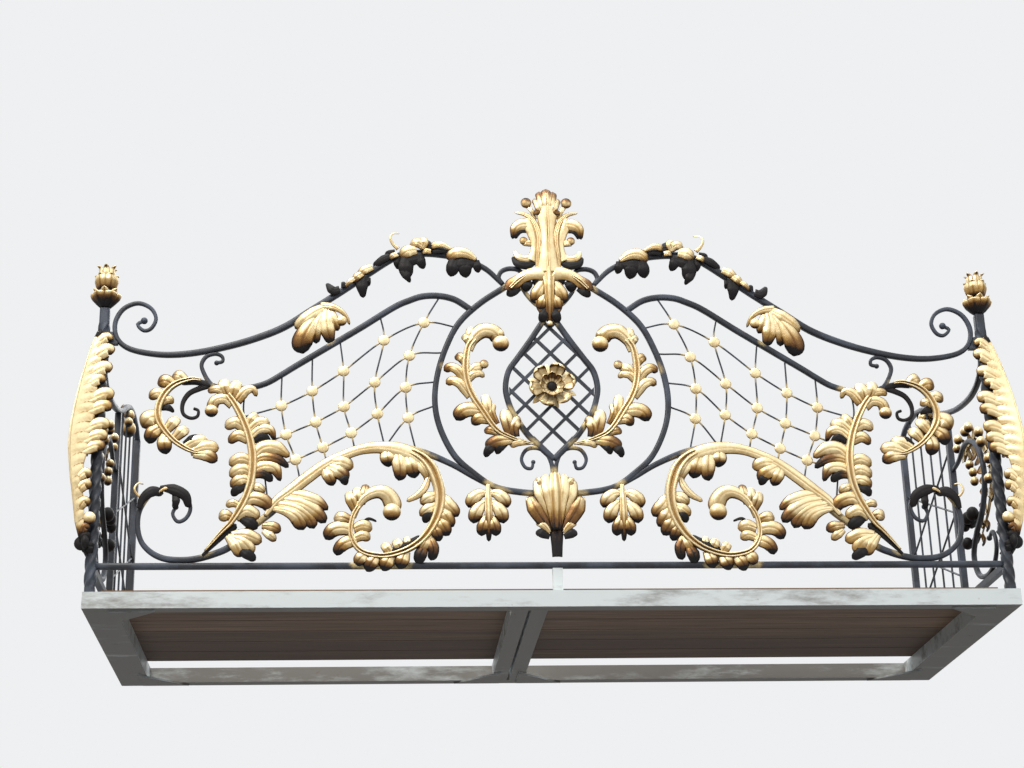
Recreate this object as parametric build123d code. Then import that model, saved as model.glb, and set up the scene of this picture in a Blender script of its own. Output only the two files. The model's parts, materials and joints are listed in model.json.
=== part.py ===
"""Wrought iron balcony with a gilded acanthus front, carried on a welded steel platform.

Frame: millimetres, +Z up, +X along the wall to the right of someone facing the balcony, +Y into
the wall. The origin lies on the wall, at mid height of the platform frame, half way along it.
The left half of the railing is drawn and the right half is its mirror image.

The scrollwork is drawn in millimetres and stretches with the railing: the top rail's spiral keeps
its gap to the post, and a side handrail ends on the post's axis.
"""

from build123d import *
import os
from math import ceil, cos, pi, radians, sin

# Platform of welded square tube
PLATFORM_WIDTH = 2810.0
PLATFORM_DEPTH = 1050.0
TUBE = 50.0
END_BEAM_WIDTH = 100.0
MIDDLE_BEAM_X = -87.0
MIDDLE_BEAM_GAP = 8.0
GUSSET_THICKNESS = 6.0
GUSSET_LAP = 25.0
WALL_GUSSET_LEG = 130.0
FRONT_GUSSET_LEG = 110.0

# Deck of softwood boards
BOARD_COUNT = 6
BOARD_WIDTH = 133.0
BOARD_GAP = 4.0
BOARD_THICKNESS = 25.0
DECK_FRONT_GAP = 14.0
DECK_SIDE_GAP = 14.0

# Corner posts of twisted square bar
POST = 30.0
POST_TOP = 945.0
POST_INSET = 15.0
POST_PLAIN_FOOT = 175.0
POST_PLAIN_HEAD = 150.0
POST_TURNS = 3
TWIST_STATIONS_PER_TURN = 10

# Finials on the posts
FINIAL_NECK = 15.0
FINIAL_CALYX = 42.0
FINIAL_BUD = 34.0
FINIAL_HEIGHT = 146.0
FINIAL_PETALS = 8
FINIAL_FOLD = 0.8

# Bars of the railing
BAR = 18.0
BAR_DEPTH = 20.0
RAIL_FOOT = 105.0
RAIL_HEIGHT = 20.0
STRUT_WIDTH = 30.0
CLAMP_HEIGHT = 40.0
CLAMP_LEVEL = 846.0
CLAMP_WIDTH = 30.0
SPIRAL_CLEARANCE = 18.0
WIRE = 8.0
NET_DEPTH = 10.0
DISC_DIAMETER = 34.0
DISC_SIDES = 8
BALL_SIDES = 10
LATTICE_BAR = 9.0
LATTICE_DEPTH = 10.0
LATTICE_SPACING = 60.0
LATTICE_SLOPE = 46.0
LATTICE_CROSSING = 805.0

# Rosette on the lattice
ROSETTE_PETALS = 8
ROSETTE_PETAL = (0.58, 0.88, 1.0, 0.88)
ROSETTE_REACH = 66.0
ROSETTE_CUP = 34.0
ROSETTE_WALL = 8.0
ROSETTE_BOSS = 14.0
ROSETTE_DEPTH = 12.0
ROSETTE_BOSS_DEPTH = 9.0
ROSETTE_LEVEL = 690.0

# Leaves of chased sheet, drawn as relief with a flat back on the front of the bars; a lobe's
# profile goes from a notch over its shoulder to its tip, as shares of the leaf's half width
LEAF_EDGE = 3.0
LEAF_RIDGE = 22.0
LEAF_LOWEST_RIB = 0.35
LEAF_FULL_RIB_AT = 60.0
LOBE_PROFILE = (0.54, 0.88, 1.0)
LOBE_SWEEP = 0.34
LEAF_SWELL = (0.12, 0.94)
LEAF_FULLNESS = 0.7
LEAF_ROOT = 0.35
LEAF_TIP = 0.3
CREST_RIDGE = 34.0
POST_LEAF_SHEET = 6.0
POST_LEAF_FOLD = 0.45
POST_LEAF_FOOT = 150.0
POST_LEAF_HEAD = 875.0

# Side railings
WALL_STILE = 25.0
INNER_STILE = 22.0
INNER_STILE_AT = 560.0
SIDE_UPRIGHTS = 4
SCROLL_START = 560.0

# Lines that the drawing is stretched by, and its levels of the rail's top and the post heads
TOP_RAIL_LINE = [
    (-145, 1040), (-159, 1055), (-195, 1091), (-236, 1114), (-287, 1132), (-338, 1142), (-390, 1147),
    (-441, 1145), (-492, 1129), (-569, 1076), (-646, 1019), (-749, 947), (-837, 887), (-935, 845),
    (-1032, 816), (-1130, 797), (-1218, 794), (-1305, 811), (-1347, 845), (-1357, 897), (-1335, 945),
    (-1291, 966), (-1250, 950), (-1232, 915), (-1245, 882), (-1268, 874), (-1288, 894), (-1268, 907),
]
HANDRAIL_LINE = [
    (12, 860), (70, 888), (170, 898), (280, 884), (370, 852), (450, 812), (540, 778), (640, 750),
    (740, 733), (840, 728), (920, 745), (965, 780), (1000, 850),
]
DRAWN_LEVELS = (125, 945)

# Bends are cut into straight steps of this run or turn, whichever comes first
STEP_RUN = 70.0
STEP_TURN = 18.0
STEP_SAMPLES = 80

SLIVER_AREA = 25.0

half_width = PLATFORM_WIDTH / 2
deck_level = TUBE / 2
post_x = half_width - POST_INSET
panel_y = -(PLATFORM_DEPTH - TUBE)
panel_front = panel_y - BAR_DEPTH / 2
rail_top = RAIL_FOOT + RAIL_HEIGHT
panel_height = POST_TOP - rail_top
stretch = (post_x - POST / 2 - SPIRAL_CLEARANCE) / max(-x for x, level in TOP_RAIL_LINE)
side_stretch = -panel_y / HANDRAIL_LINE[-1][0]

nodes = {}


def up(level):
    """Height of a drawn level on a railing of the present height."""
    low, high = DRAWN_LEVELS
    return rail_top + (level - low) * panel_height / (high - low)


def drawn(points):
    """Points of the left half of the front, stretched to the present railing."""
    return [(x * stretch, up(level)) for x, level in points]


def side_drawn(points):
    """Points of a side railing, distance from the wall and height, stretched likewise."""
    return [(out * side_stretch, up(level)) for out, level in points]


def front_layer(depth):
    """Front plane for a piece of this depth that lies in the middle of the bars."""
    return Plane(origin=(0, panel_y + depth / 2, 0), x_dir=(1, 0, 0), z_dir=(0, -1, 0))


def side_layer(depth):
    """Plane of the left side railing, for a piece of this depth in the middle of its bars."""
    return Plane(origin=(-post_x + depth / 2, 0, 0), x_dir=(0, -1, 0), z_dir=(-1, 0, 0))


front_face = Plane(origin=(0, panel_front, 0), x_dir=(1, 0, 0), z_dir=(0, -1, 0))
side_face = Plane(origin=(-post_x - BAR_DEPTH / 2, 0, 0), x_dir=(0, -1, 0), z_dir=(-1, 0, 0))


def keep(name, shape):
    """Note a finished piece under its name."""
    nodes[name] = shape


def keep_sides(name, shape):
    """Note a left piece and its mirror image as two pieces."""
    keep("left_" + name, shape)
    keep("right_" + name, mirror(shape, about=Plane.YZ))


def keep_pair(name, shape):
    """Note a left piece and its mirror image together."""
    keep(name, Compound([*shape.solids(), *mirror(shape, about=Plane.YZ).solids()]))


def between(values, share):
    """Value at a share of the way along an evenly spaced list."""
    place = share * (len(values) - 1)
    start = min(int(place), len(values) - 2)
    return values[start] + (values[start + 1] - values[start]) * (place - start)


def steps(path):
    """Shares along a path at even steps of run or turn, so that they are close where it bends."""
    shares = [place / STEP_SAMPLES for place in range(STEP_SAMPLES + 1)]
    walked = [0.0]
    for first, second in zip(shares, shares[1:]):
        turn = (path % first).get_angle(path % second)
        walked.append(walked[-1] + max(path.length / STEP_SAMPLES / STEP_RUN, turn / STEP_TURN))
    count = ceil(walked[-1])
    marks = [walked[-1] * step / count for step in range(count + 1)]
    nearest = [min(range(len(walked)), key=lambda place: abs(walked[place] - mark)) for mark in marks]
    return [shares[place] for place in dict.fromkeys(nearest)]


def bar(points, taper=(1, 1), ball=0):
    """Outline of a bar bent along a smooth line, with its taper and end ball as shares of a bar."""
    path = Spline(*points)
    near, far = [], []
    for share in steps(path):
        place, heading = path @ share, path % share
        side = Vector(-heading.Y, heading.X) * (BAR / 2 * between(taper, share))
        near.append(place + side)
        far.append(place - side)
    face = make_face(Polyline(*near, *reversed(far), close=True))
    if ball:
        face = face + Pos(*points[-1]) * RegularPolygon(BAR / 2 * ball, BALL_SIDES)
    return face


def wire(points):
    """Outline of a thin wire in straight runs with mitred corners."""
    near, far = [], []
    for place, point in enumerate(points):
        here = Vector(*point)
        run_in = here - Vector(*points[max(place - 1, 0)])
        run_out = Vector(*points[min(place + 1, len(points) - 1)]) - here
        run_in = (run_in if run_in.length else run_out).normalized()
        run_out = (run_out if run_out.length else run_in).normalized()
        mean = (run_in + run_out).normalized()
        side = Vector(-mean.Y, mean.X) * (WIRE / 2 / mean.dot(run_in))
        near.append(here + side)
        far.append(here - side)
    return make_face(Polyline(*near, *reversed(far), close=True))


def solid_of(outline, depth, plane):
    """Extrude an outline through the middle of the panel, without the slivers of a cut."""
    faces = [face for face in outline.faces() if face.area > SLIVER_AREA]
    return plane * extrude(Sketch() + faces, amount=depth)


def both_halves(outline):
    """A left outline together with its mirror image."""
    return outline + mirror(outline, about=Plane.YZ)


def faceted(rings):
    """Closed solid through rings of corners: flat triangles between neighbours, flat ends."""
    faces = []
    for first, second in zip(rings, rings[1:]):
        for place in range(len(first)):
            a, b, c, d = first[place - 1], first[place], second[place], second[place - 1]
            faces.append(Face(Wire.make_polygon([a, b, c])))
            faces.append(Face(Wire.make_polygon([a, c, d])))
    faces.append(Face(Wire.make_polygon(rings[0])))
    faces.append(Face(Wire.make_polygon(rings[-1])))
    return Solid(Shell(faces))


def leaf(points, left, right, ridge=LEAF_RIDGE, plane=front_face, growth=stretch):
    """Relief of a lobed leaf along its midrib, with a flat back on the bars.

    left and right are the drawn half widths, one value a station, from notch to tip and back. The
    tip of a lobe, where the next value is smaller, is swept on towards the tip of the leaf.
    """
    path = Spline(*points)
    last = len(left) - 1
    edge = Vector(0, 0, LEAF_EDGE)
    rings = []
    for station in range(last + 1):
        place, heading = path @ (station / last), path % (station / last)
        sideways = Vector(-heading.Y, heading.X)
        corners = []
        for half, turn in ((left, 1), (right, -1)):
            width = half[station] * growth
            is_tip = 0 < station < last and half[station] > half[station + 1]
            corners.append(place + sideways * (turn * width) + heading * (is_tip * LOBE_SWEEP * width))
        outer, inner = corners
        full = (left[station] + right[station]) * growth / LEAF_FULL_RIB_AT
        rib = Vector(0, 0, ridge * min(1, LEAF_LOWEST_RIB + (1 - LEAF_LOWEST_RIB) * full))
        rings.append([outer, inner, inner + edge, place + rib, outer + edge])
    return plane * faceted(rings)


def lobes(widest, lobe_count):
    """Half widths of a leaf edge: round lobes that swell to the widest point and shrink to the tip."""
    last = len(LOBE_PROFILE) * lobe_count
    first_share, last_share = LEAF_SWELL
    values = []
    for station in range(last + 1):
        share = first_share + (last_share - first_share) * station / last
        swell = sin(pi * share) ** LEAF_FULLNESS
        values.append(widest * swell * LOBE_PROFILE[station % len(LOBE_PROFILE)])
    values[0], values[-1] = widest * LEAF_ROOT, widest * LEAF_TIP
    return values


def block(x0, x1, y0, y1, z0, z1):
    """Box between two corners."""
    return Pos((x0 + x1) / 2, (y0 + y1) / 2, (z0 + z1) / 2) * Box(x1 - x0, y1 - y0, z1 - z0)


def gusset(corner_x, corner_y, along, inward, leg):
    """Triangular plate welded under the tubes of a corner."""
    reach = leg + GUSSET_LAP
    corners = [
        (corner_x, corner_y), (corner_x + along * reach, corner_y), (corner_x, corner_y + inward * reach),
    ]
    low = -TUBE / 2 - GUSSET_THICKNESS / 2
    outline = make_face(Polyline(*corners, close=True))
    return Pos(0, 0, low) * extrude(outline, amount=GUSSET_THICKNESS / 2, both=True)


def make_platform():
    """Welded frame: rear and front tubes, end beams, a pair of middle tubes and gussets."""
    low, high = -TUBE / 2, TUBE / 2
    front, back = -PLATFORM_DEPTH, -TUBE
    keep("rear_beam", block(-half_width, half_width, back, 0, low, high))
    keep("front_beam", block(-half_width, half_width, front, front + TUBE, low, high))
    end = block(-half_width, -half_width + END_BEAM_WIDTH, front + TUBE, back, low, high)
    keep_sides("end_beam", end)
    left_start = MIDDLE_BEAM_X - MIDDLE_BEAM_GAP / 2 - TUBE
    right_start = MIDDLE_BEAM_X + MIDDLE_BEAM_GAP / 2
    middle = []
    for start in (left_start, right_start):
        middle.append(block(start, start + TUBE, front + TUBE, back, low, high))
    keep("middle_beams", Compound(middle))

    inner_end = -half_width + END_BEAM_WIDTH - GUSSET_LAP
    wall_line, front_line = back + GUSSET_LAP, front + TUBE - GUSSET_LAP
    keep("wall_gussets", Compound([
        gusset(inner_end, wall_line, 1, -1, WALL_GUSSET_LEG),
        gusset(-inner_end, wall_line, -1, -1, WALL_GUSSET_LEG),
        gusset(left_start + GUSSET_LAP, wall_line, -1, -1, WALL_GUSSET_LEG),
        gusset(right_start + TUBE - GUSSET_LAP, wall_line, 1, -1, WALL_GUSSET_LEG),
    ]))
    keep("front_gussets", Compound([
        gusset(inner_end, front_line, 1, 1, FRONT_GUSSET_LEG),
        gusset(-inner_end, front_line, -1, 1, FRONT_GUSSET_LEG),
    ]))


def make_deck():
    """Boards that lie along the platform on the beams, behind the railing's feet."""
    reach = post_x - POST / 2 - DECK_SIDE_GAP
    front = panel_y + POST / 2 + DECK_FRONT_GAP
    boards = []
    for row in range(BOARD_COUNT):
        start = front + row * (BOARD_WIDTH + BOARD_GAP)
        end = start + BOARD_WIDTH
        boards.append(block(-reach, reach, start, end, deck_level, deck_level + BOARD_THICKNESS))
    keep("deck_boards", Compound(boards))


def square_ring(level, turn):
    """Corners of the post's square section, turned about its axis."""
    reach = POST / 2 * 2 ** 0.5
    angles = [turn + 45 + 90 * corner for corner in range(4)]
    return [Vector(reach * cos(radians(angle)), reach * sin(radians(angle)), level) for angle in angles]


def make_post():
    """Square bar, twisted between a plain foot and a plain head."""
    twist_foot, twist_head = deck_level + POST_PLAIN_FOOT, POST_TOP - POST_PLAIN_HEAD
    stations = ceil(POST_TURNS * TWIST_STATIONS_PER_TURN)
    rings = [square_ring(deck_level, 0)]
    for station in range(stations + 1):
        share = station / stations
        rings.append(square_ring(twist_foot + share * (twist_head - twist_foot), 360 * POST_TURNS * share))
    rings.append(square_ring(POST_TOP, 0))
    keep_sides("post", Pos(-post_x, panel_y, 0) * faceted(rings))


def make_finial():
    """Open bud on the post head: a flared calyx, a neck and tall petals that spread at the top."""
    outline = [
        (0.0, FINIAL_NECK), (0.16, FINIAL_NECK + 6), (0.33, FINIAL_CALYX), (0.38, FINIAL_CALYX - 8),
        (0.42, FINIAL_NECK), (0.58, FINIAL_NECK + 8), (0.88, FINIAL_BUD), (1.0, FINIAL_BUD - 10),
    ]
    rings = []
    for height, reach in outline:
        ring = []
        for side in range(2 * FINIAL_PETALS):
            angle = radians(180 * side / FINIAL_PETALS)
            spread = reach * (1.0 if side % 2 else FINIAL_FOLD)
            ring.append(Vector(spread * cos(angle), spread * sin(angle), height * FINIAL_HEIGHT))
        rings.append(ring)
    keep_pair("finials", Pos(-post_x, panel_y, POST_TOP) * faceted(rings))


def make_post_leaf():
    """Folded leaf on the outer corner of the post: its midrib bows out along the diagonal."""
    bow = [0, 14, 24, 33, 41, 48, 54, 59, 62, 62, 58, 53, 46, 40, 34, 22, 0]
    wing = [18, 47, 39, 68, 56, 105, 76, 112, 70, 110, 46, 56, 34, 63, 36, 40, 16]
    head, foot = up(POST_LEAF_HEAD), up(POST_LEAF_FOOT)
    stations = len(bow) - 1
    sheet = POST_LEAF_SHEET
    rings = []
    for station in range(stations + 1):
        level = head + (foot - head) * station / stations
        swept = LOBE_SWEEP * wing[station] if station % 2 else 0
        tip_level = level + swept
        out = POST / 2 + bow[station]
        tip_out = POST / 2 + bow[station] * POST_LEAF_FOLD
        tip = -out + wing[station]
        rings.append([
            Vector(-out, -out, level), Vector(tip, -tip_out, tip_level),
            Vector(tip, -tip_out - sheet, tip_level), Vector(-out - sheet, -out - sheet, level),
            Vector(-tip_out - sheet, tip, tip_level), Vector(-tip_out, tip, tip_level),
        ])
    keep_sides("post_leaf", Pos(-post_x, panel_y, 0) * faceted(rings))


def ring_outline():
    """Round medallion, open at the top where the crest stands."""
    return both_halves(bar(drawn([
        (-112, 1048), (-149, 1024), (-221, 973), (-287, 906), (-328, 824), (-356, 732), (-365, 640),
        (-350, 555), (-308, 467), (-251, 410), (-185, 364), (-97, 346), (0, 343),
    ])))


def top_rail_outline():
    """Top rail, from a spiral at the post over the shoulder of the panel to a hook at the crest."""
    hook = drawn([
        (-145, 1040), (-158, 1062), (-148, 1086), (-122, 1096), (-92, 1090), (-80, 1066), (-90, 1046),
        (-112, 1044),
    ])
    rail = bar(drawn(TOP_RAIL_LINE), taper=(0.8, 1.1, 1.1, 1.1, 1, 0.8, 0.55), ball=1.2)
    return rail + bar(hook, taper=(0.8, 0.8, 0.55))


def shoulder_rail_outline():
    """Second rail, from the medallion down to a curl that touches the top rail."""
    return bar(drawn([
        (-256, 958), (-300, 987), (-349, 999), (-400, 997), (-441, 983), (-492, 958), (-595, 888),
        (-697, 822), (-800, 755), (-837, 730), (-886, 700), (-940, 684), (-990, 680), (-1032, 682),
        (-1056, 697), (-1075, 726), (-1086, 760), (-1072, 788), (-1044, 797), (-1024, 788), (-1022, 772),
        (-1040, 767),
    ]), taper=(1, 1, 1, 0.9, 0.55), ball=0.9)


def lower_scroll_outline():
    """Arch from the medallion down to a large scroll on the bottom rail beside the post."""
    return bar(drawn([
        (-251, 397), (-318, 438), (-400, 474), (-482, 492), (-554, 492), (-646, 462), (-697, 436),
        (-749, 395), (-800, 352), (-852, 292), (-935, 223), (-983, 175), (-1032, 152), (-1081, 138),
        (-1130, 134), (-1179, 140), (-1218, 160), (-1247, 194), (-1259, 245), (-1252, 297), (-1218, 345),
        (-1170, 358), (-1125, 343), (-1104, 300), (-1115, 266), (-1140, 254), (-1156, 277), (-1148, 300),
    ]), taper=(1, 1.1, 1.1, 1.1, 1, 0.8, 0.55), ball=1)


def pointed_outline():
    """Pointed oval band inside the medallion."""
    return both_halves(bar(drawn([
        (0, 946), (-36, 890), (-67, 842), (-105, 787), (-133, 745), (-144, 696), (-140, 655), (-122, 602),
        (-82, 538), (-50, 503), (0, 452),
    ])))


def make_front_bars():
    """Rails, ring and scrolls of the front, each cut where it meets the one that carries it."""
    post_face = -post_x + POST / 2
    rail = Pos(0, (RAIL_FOOT + rail_top) / 2) * Rectangle(-2 * post_face, RAIL_HEIGHT)
    strut = Pos(0, (deck_level + RAIL_FOOT) / 2) * Rectangle(STRUT_WIDTH, RAIL_FOOT - deck_level)
    clamp = Pos(post_face + CLAMP_WIDTH / 2, up(CLAMP_LEVEL)) * Rectangle(CLAMP_WIDTH, CLAMP_HEIGHT)
    yoke_line = drawn([(-92, 1044), (-70, 1006), (-38, 972), (0, 957)])
    yoke = both_halves(bar(yoke_line, taper=(0.55, 1)))
    curls = both_halves(bar(drawn([
        (0, 372), (-3, 400), (-6, 440), (-24, 475), (-52, 490), (-84, 484), (-100, 455), (-90, 428),
        (-70, 424), (-64, 444),
    ]), taper=(0.8, 0.65, 0.45)))

    ring = ring_outline()
    pointed = pointed_outline()
    top_rail = top_rail_outline() - ring
    shoulder_rail = shoulder_rail_outline() - ring - top_rail
    low_scroll = lower_scroll_outline() - ring - rail
    clamp = clamp - top_rail
    yoke = yoke - ring - both_halves(top_rail) - pointed
    curls = curls - ring - pointed

    bars = front_layer(BAR_DEPTH)
    keep("bottom_rail", solid_of(rail, BAR_DEPTH, bars))
    keep("centre_strut", solid_of(strut, BAR_DEPTH, bars))
    keep("medallion_ring", solid_of(ring, BAR_DEPTH, bars))
    keep_pair("top_rails", solid_of(top_rail, BAR_DEPTH, bars))
    keep_pair("shoulder_rails", solid_of(shoulder_rail, BAR_DEPTH, bars))
    keep_pair("lower_scrolls", solid_of(low_scroll, BAR_DEPTH, bars))
    keep_pair("rail_clamps", solid_of(clamp, BAR_DEPTH, bars))
    keep("pointed_frame", solid_of(pointed, BAR_DEPTH, bars))
    keep("crest_yoke", solid_of(yoke, BAR_DEPTH, bars))
    keep("base_curls", solid_of(curls, BAR_DEPTH, bars))
    return ring + top_rail + shoulder_rail + low_scroll, pointed


def make_net(frame):
    """Net of thin wires between the rails, with a disc on each crossing."""
    wire_lines = [
        [(-950, 590), (-838, 626), (-744, 675), (-648, 742), (-523, 846), (-397, 907), (-287, 890)],
        [(-870, 510), (-822, 532), (-732, 573), (-646, 624), (-551, 705), (-443, 795), (-345, 805)],
        [(-860, 430), (-792, 451), (-709, 490), (-623, 538), (-543, 601), (-455, 688), (-360, 708)],
        [(-520, 492), (-448, 588), (-362, 630)],
        [(-838, 730), (-838, 626), (-822, 532), (-792, 451), (-775, 375)],
        [(-745, 790), (-744, 675), (-732, 573), (-709, 490), (-695, 436)],
        [(-660, 845), (-648, 742), (-646, 624), (-623, 538), (-610, 474)],
        [(-535, 930), (-523, 846), (-551, 705), (-543, 601), (-520, 492)],
        [(-345, 999), (-397, 907), (-443, 795), (-455, 688), (-448, 588), (-425, 482)],
        [(-950, 680), (-950, 590), (-900, 480), (-870, 300)],
    ]
    crossings = [
        (-397, 907), (-523, 846), (-443, 795), (-648, 742), (-551, 705), (-455, 688), (-744, 675),
        (-646, 624), (-543, 601), (-448, 588), (-838, 626), (-732, 573), (-623, 538), (-822, 532),
        (-709, 490), (-792, 451),
    ]
    wires = [wire(drawn(line)) for line in wire_lines]
    disc = RegularPolygon(DISC_DIAMETER / 2, DISC_SIDES)
    discs = [Pos(*place) * disc for place in drawn(crossings)]
    keep_pair("nets", solid_of((Sketch() + wires + discs) - frame, NET_DEPTH, front_layer(NET_DEPTH)))


def make_lattice(pointed):
    """Diagonal lattice inside the pointed band, fused where its bars cross."""
    step = LATTICE_SPACING / cos(radians(LATTICE_SLOPE))
    crossing = up(LATTICE_CROSSING)
    reach = panel_height
    bars = []
    for place in range(-ceil(reach / step), ceil(reach / step) + 1):
        level = crossing + place * step
        for slope in (LATTICE_SLOPE, -LATTICE_SLOPE):
            bars.append(Pos(0, level) * Rot(0, 0, slope) * Rectangle(2 * reach, LATTICE_BAR))
    opening = make_face(pointed.faces()[0].inner_wires()[0].edges())
    keep("pointed_lattice", solid_of((Sketch() + bars) & opening, LATTICE_DEPTH, front_layer(LATTICE_DEPTH)))


def make_rosette():
    """Flower on the middle of the lattice: flat petals, a raised cup and a boss."""
    outline = []
    sides = len(ROSETTE_PETAL) * ROSETTE_PETALS
    for side in range(sides):
        reach = ROSETTE_REACH * ROSETTE_PETAL[side % len(ROSETTE_PETAL)]
        angle = radians(360 * side / sides)
        outline.append((reach * cos(angle), reach * sin(angle)))
    petals = extrude(make_face(Polyline(*outline, close=True)), amount=ROSETTE_DEPTH)
    rim = RegularPolygon(ROSETTE_CUP, 2 * ROSETTE_PETALS)
    hollow = RegularPolygon(ROSETTE_CUP - ROSETTE_WALL, 2 * ROSETTE_PETALS)
    cup = Pos(0, 0, ROSETTE_DEPTH) * extrude(rim - hollow, amount=ROSETTE_DEPTH)
    boss = Pos(0, 0, ROSETTE_DEPTH) * extrude(
        RegularPolygon(ROSETTE_BOSS, ROSETTE_PETALS), amount=ROSETTE_BOSS_DEPTH)
    seat = (0, panel_y - LATTICE_DEPTH / 2, up(ROSETTE_LEVEL))
    keep("rosette", Plane(origin=seat, x_dir=(1, 0, 0), z_dir=(0, -1, 0)) * (petals + cup + boss))


def make_front_leaves():
    """Gilded leaves of the front, on the front faces of the bars."""
    keep_pair("tall_leaves", leaf(
        drawn([(-1045, 165), (-983, 243), (-940, 321), (-921, 419), (-935, 526), (-979, 623),
               (-1005, 700)]),
        lobes(76, 7), lobes(74, 7)))
    keep_pair("hook_leaves", leaf(
        drawn([(-1062, 704), (-1130, 712), (-1190, 672), (-1215, 599), (-1185, 530), (-1120, 480),
               (-1034, 462)]),
        lobes(48, 6), lobes(50, 6)))
    keep_pair("arch_leaves", leaf(
        drawn([(-836, 312), (-800, 350), (-697, 430), (-600, 480), (-520, 490)]),
        [20, 24, 20, 26, 22, 26, 20, 24, 16], [20, 60, 34, 72, 36, 70, 30, 54, 20]))
    keep_pair("scroll_leaves", leaf(
        drawn([(-410, 470), (-372, 410), (-354, 330), (-375, 235), (-446, 164), (-533, 141), (-605, 169),
               (-622, 231), (-590, 310), (-520, 345)]), lobes(46, 9), lobes(58, 9)))
    keep_pair("medallion_leaves", leaf(
        drawn([(-68, 500), (-133, 518), (-185, 555), (-232, 625), (-265, 720), (-262, 810),
               (-252, 900)]),
        lobes(56, 7), lobes(54, 7)))
    keep_pair("rail_leaves", leaf(
        drawn([(-830, 885), (-770, 870), (-700, 850), (-640, 838)]), lobes(52, 4), lobes(50, 4)))
    keep_pair("top_leaves", leaf(
        drawn([(-250, 1120), (-330, 1141), (-441, 1145), (-540, 1096), (-640, 1022), (-720, 968)]),
        lobes(62, 6), lobes(64, 6)))
    keep_pair("drop_leaves", leaf(
        drawn([(-185, 372), (-205, 330), (-212, 260), (-200, 190)]), lobes(44, 4), lobes(44, 4)))
    keep_pair("foot_leaves", leaf(
        drawn([(-893, 255), (-880, 205), (-885, 140)]), lobes(30, 3), lobes(30, 3)))
    bell = [14, 22, 50, 34, 84, 60, 92, 66, 74, 46, 20]
    keep("calyx_leaf", leaf(drawn([(0, 150), (0, 260), (0, 410)]), bell, bell, ridge=CREST_RIDGE))


def make_crest():
    """Tall crest: a fan on a waisted stem, C shaped side leaves, stalks, arms and a hanging leaf."""
    stem_line = drawn([(0, 925), (0, 1100), (0, 1375)])
    widths = [12, 36, 24, 34, 26, 44, 24, 26, 42, 36, 28, 24, 22, 22, 24, 26, 24, 36, 40, 38, 14]
    stem = leaf(stem_line, widths, widths, ridge=CREST_RIDGE)
    c_leaf = leaf(
        drawn([(-18, 1120), (-52, 1150), (-62, 1190), (-60, 1225), (-84, 1252), (-112, 1232)]),
        [16, 44, 20, 24, 14, 26, 10], [10, 12, 14, 16, 18, 18, 8])
    stalk = leaf(
        drawn([(-12, 1190), (-28, 1250), (-50, 1300), (-64, 1332)]),
        [8, 8, 9, 9, 16, 8], [8, 8, 9, 9, 16, 8])
    horn = leaf(
        drawn([(-14, 1200), (-40, 1255), (-66, 1282), (-98, 1296)]),
        [9, 9, 9, 8, 6], [9, 9, 9, 8, 6])
    arm = leaf(
        drawn([(-14, 1100), (-52, 1098), (-92, 1078), (-124, 1050)]),
        [14, 18, 22, 20, 8], [14, 22, 18, 26, 8])
    side = c_leaf.fuse(stalk, horn, arm)
    keep("crest_leaf", stem.fuse(side, mirror(side, about=Plane.YZ)))


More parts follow.
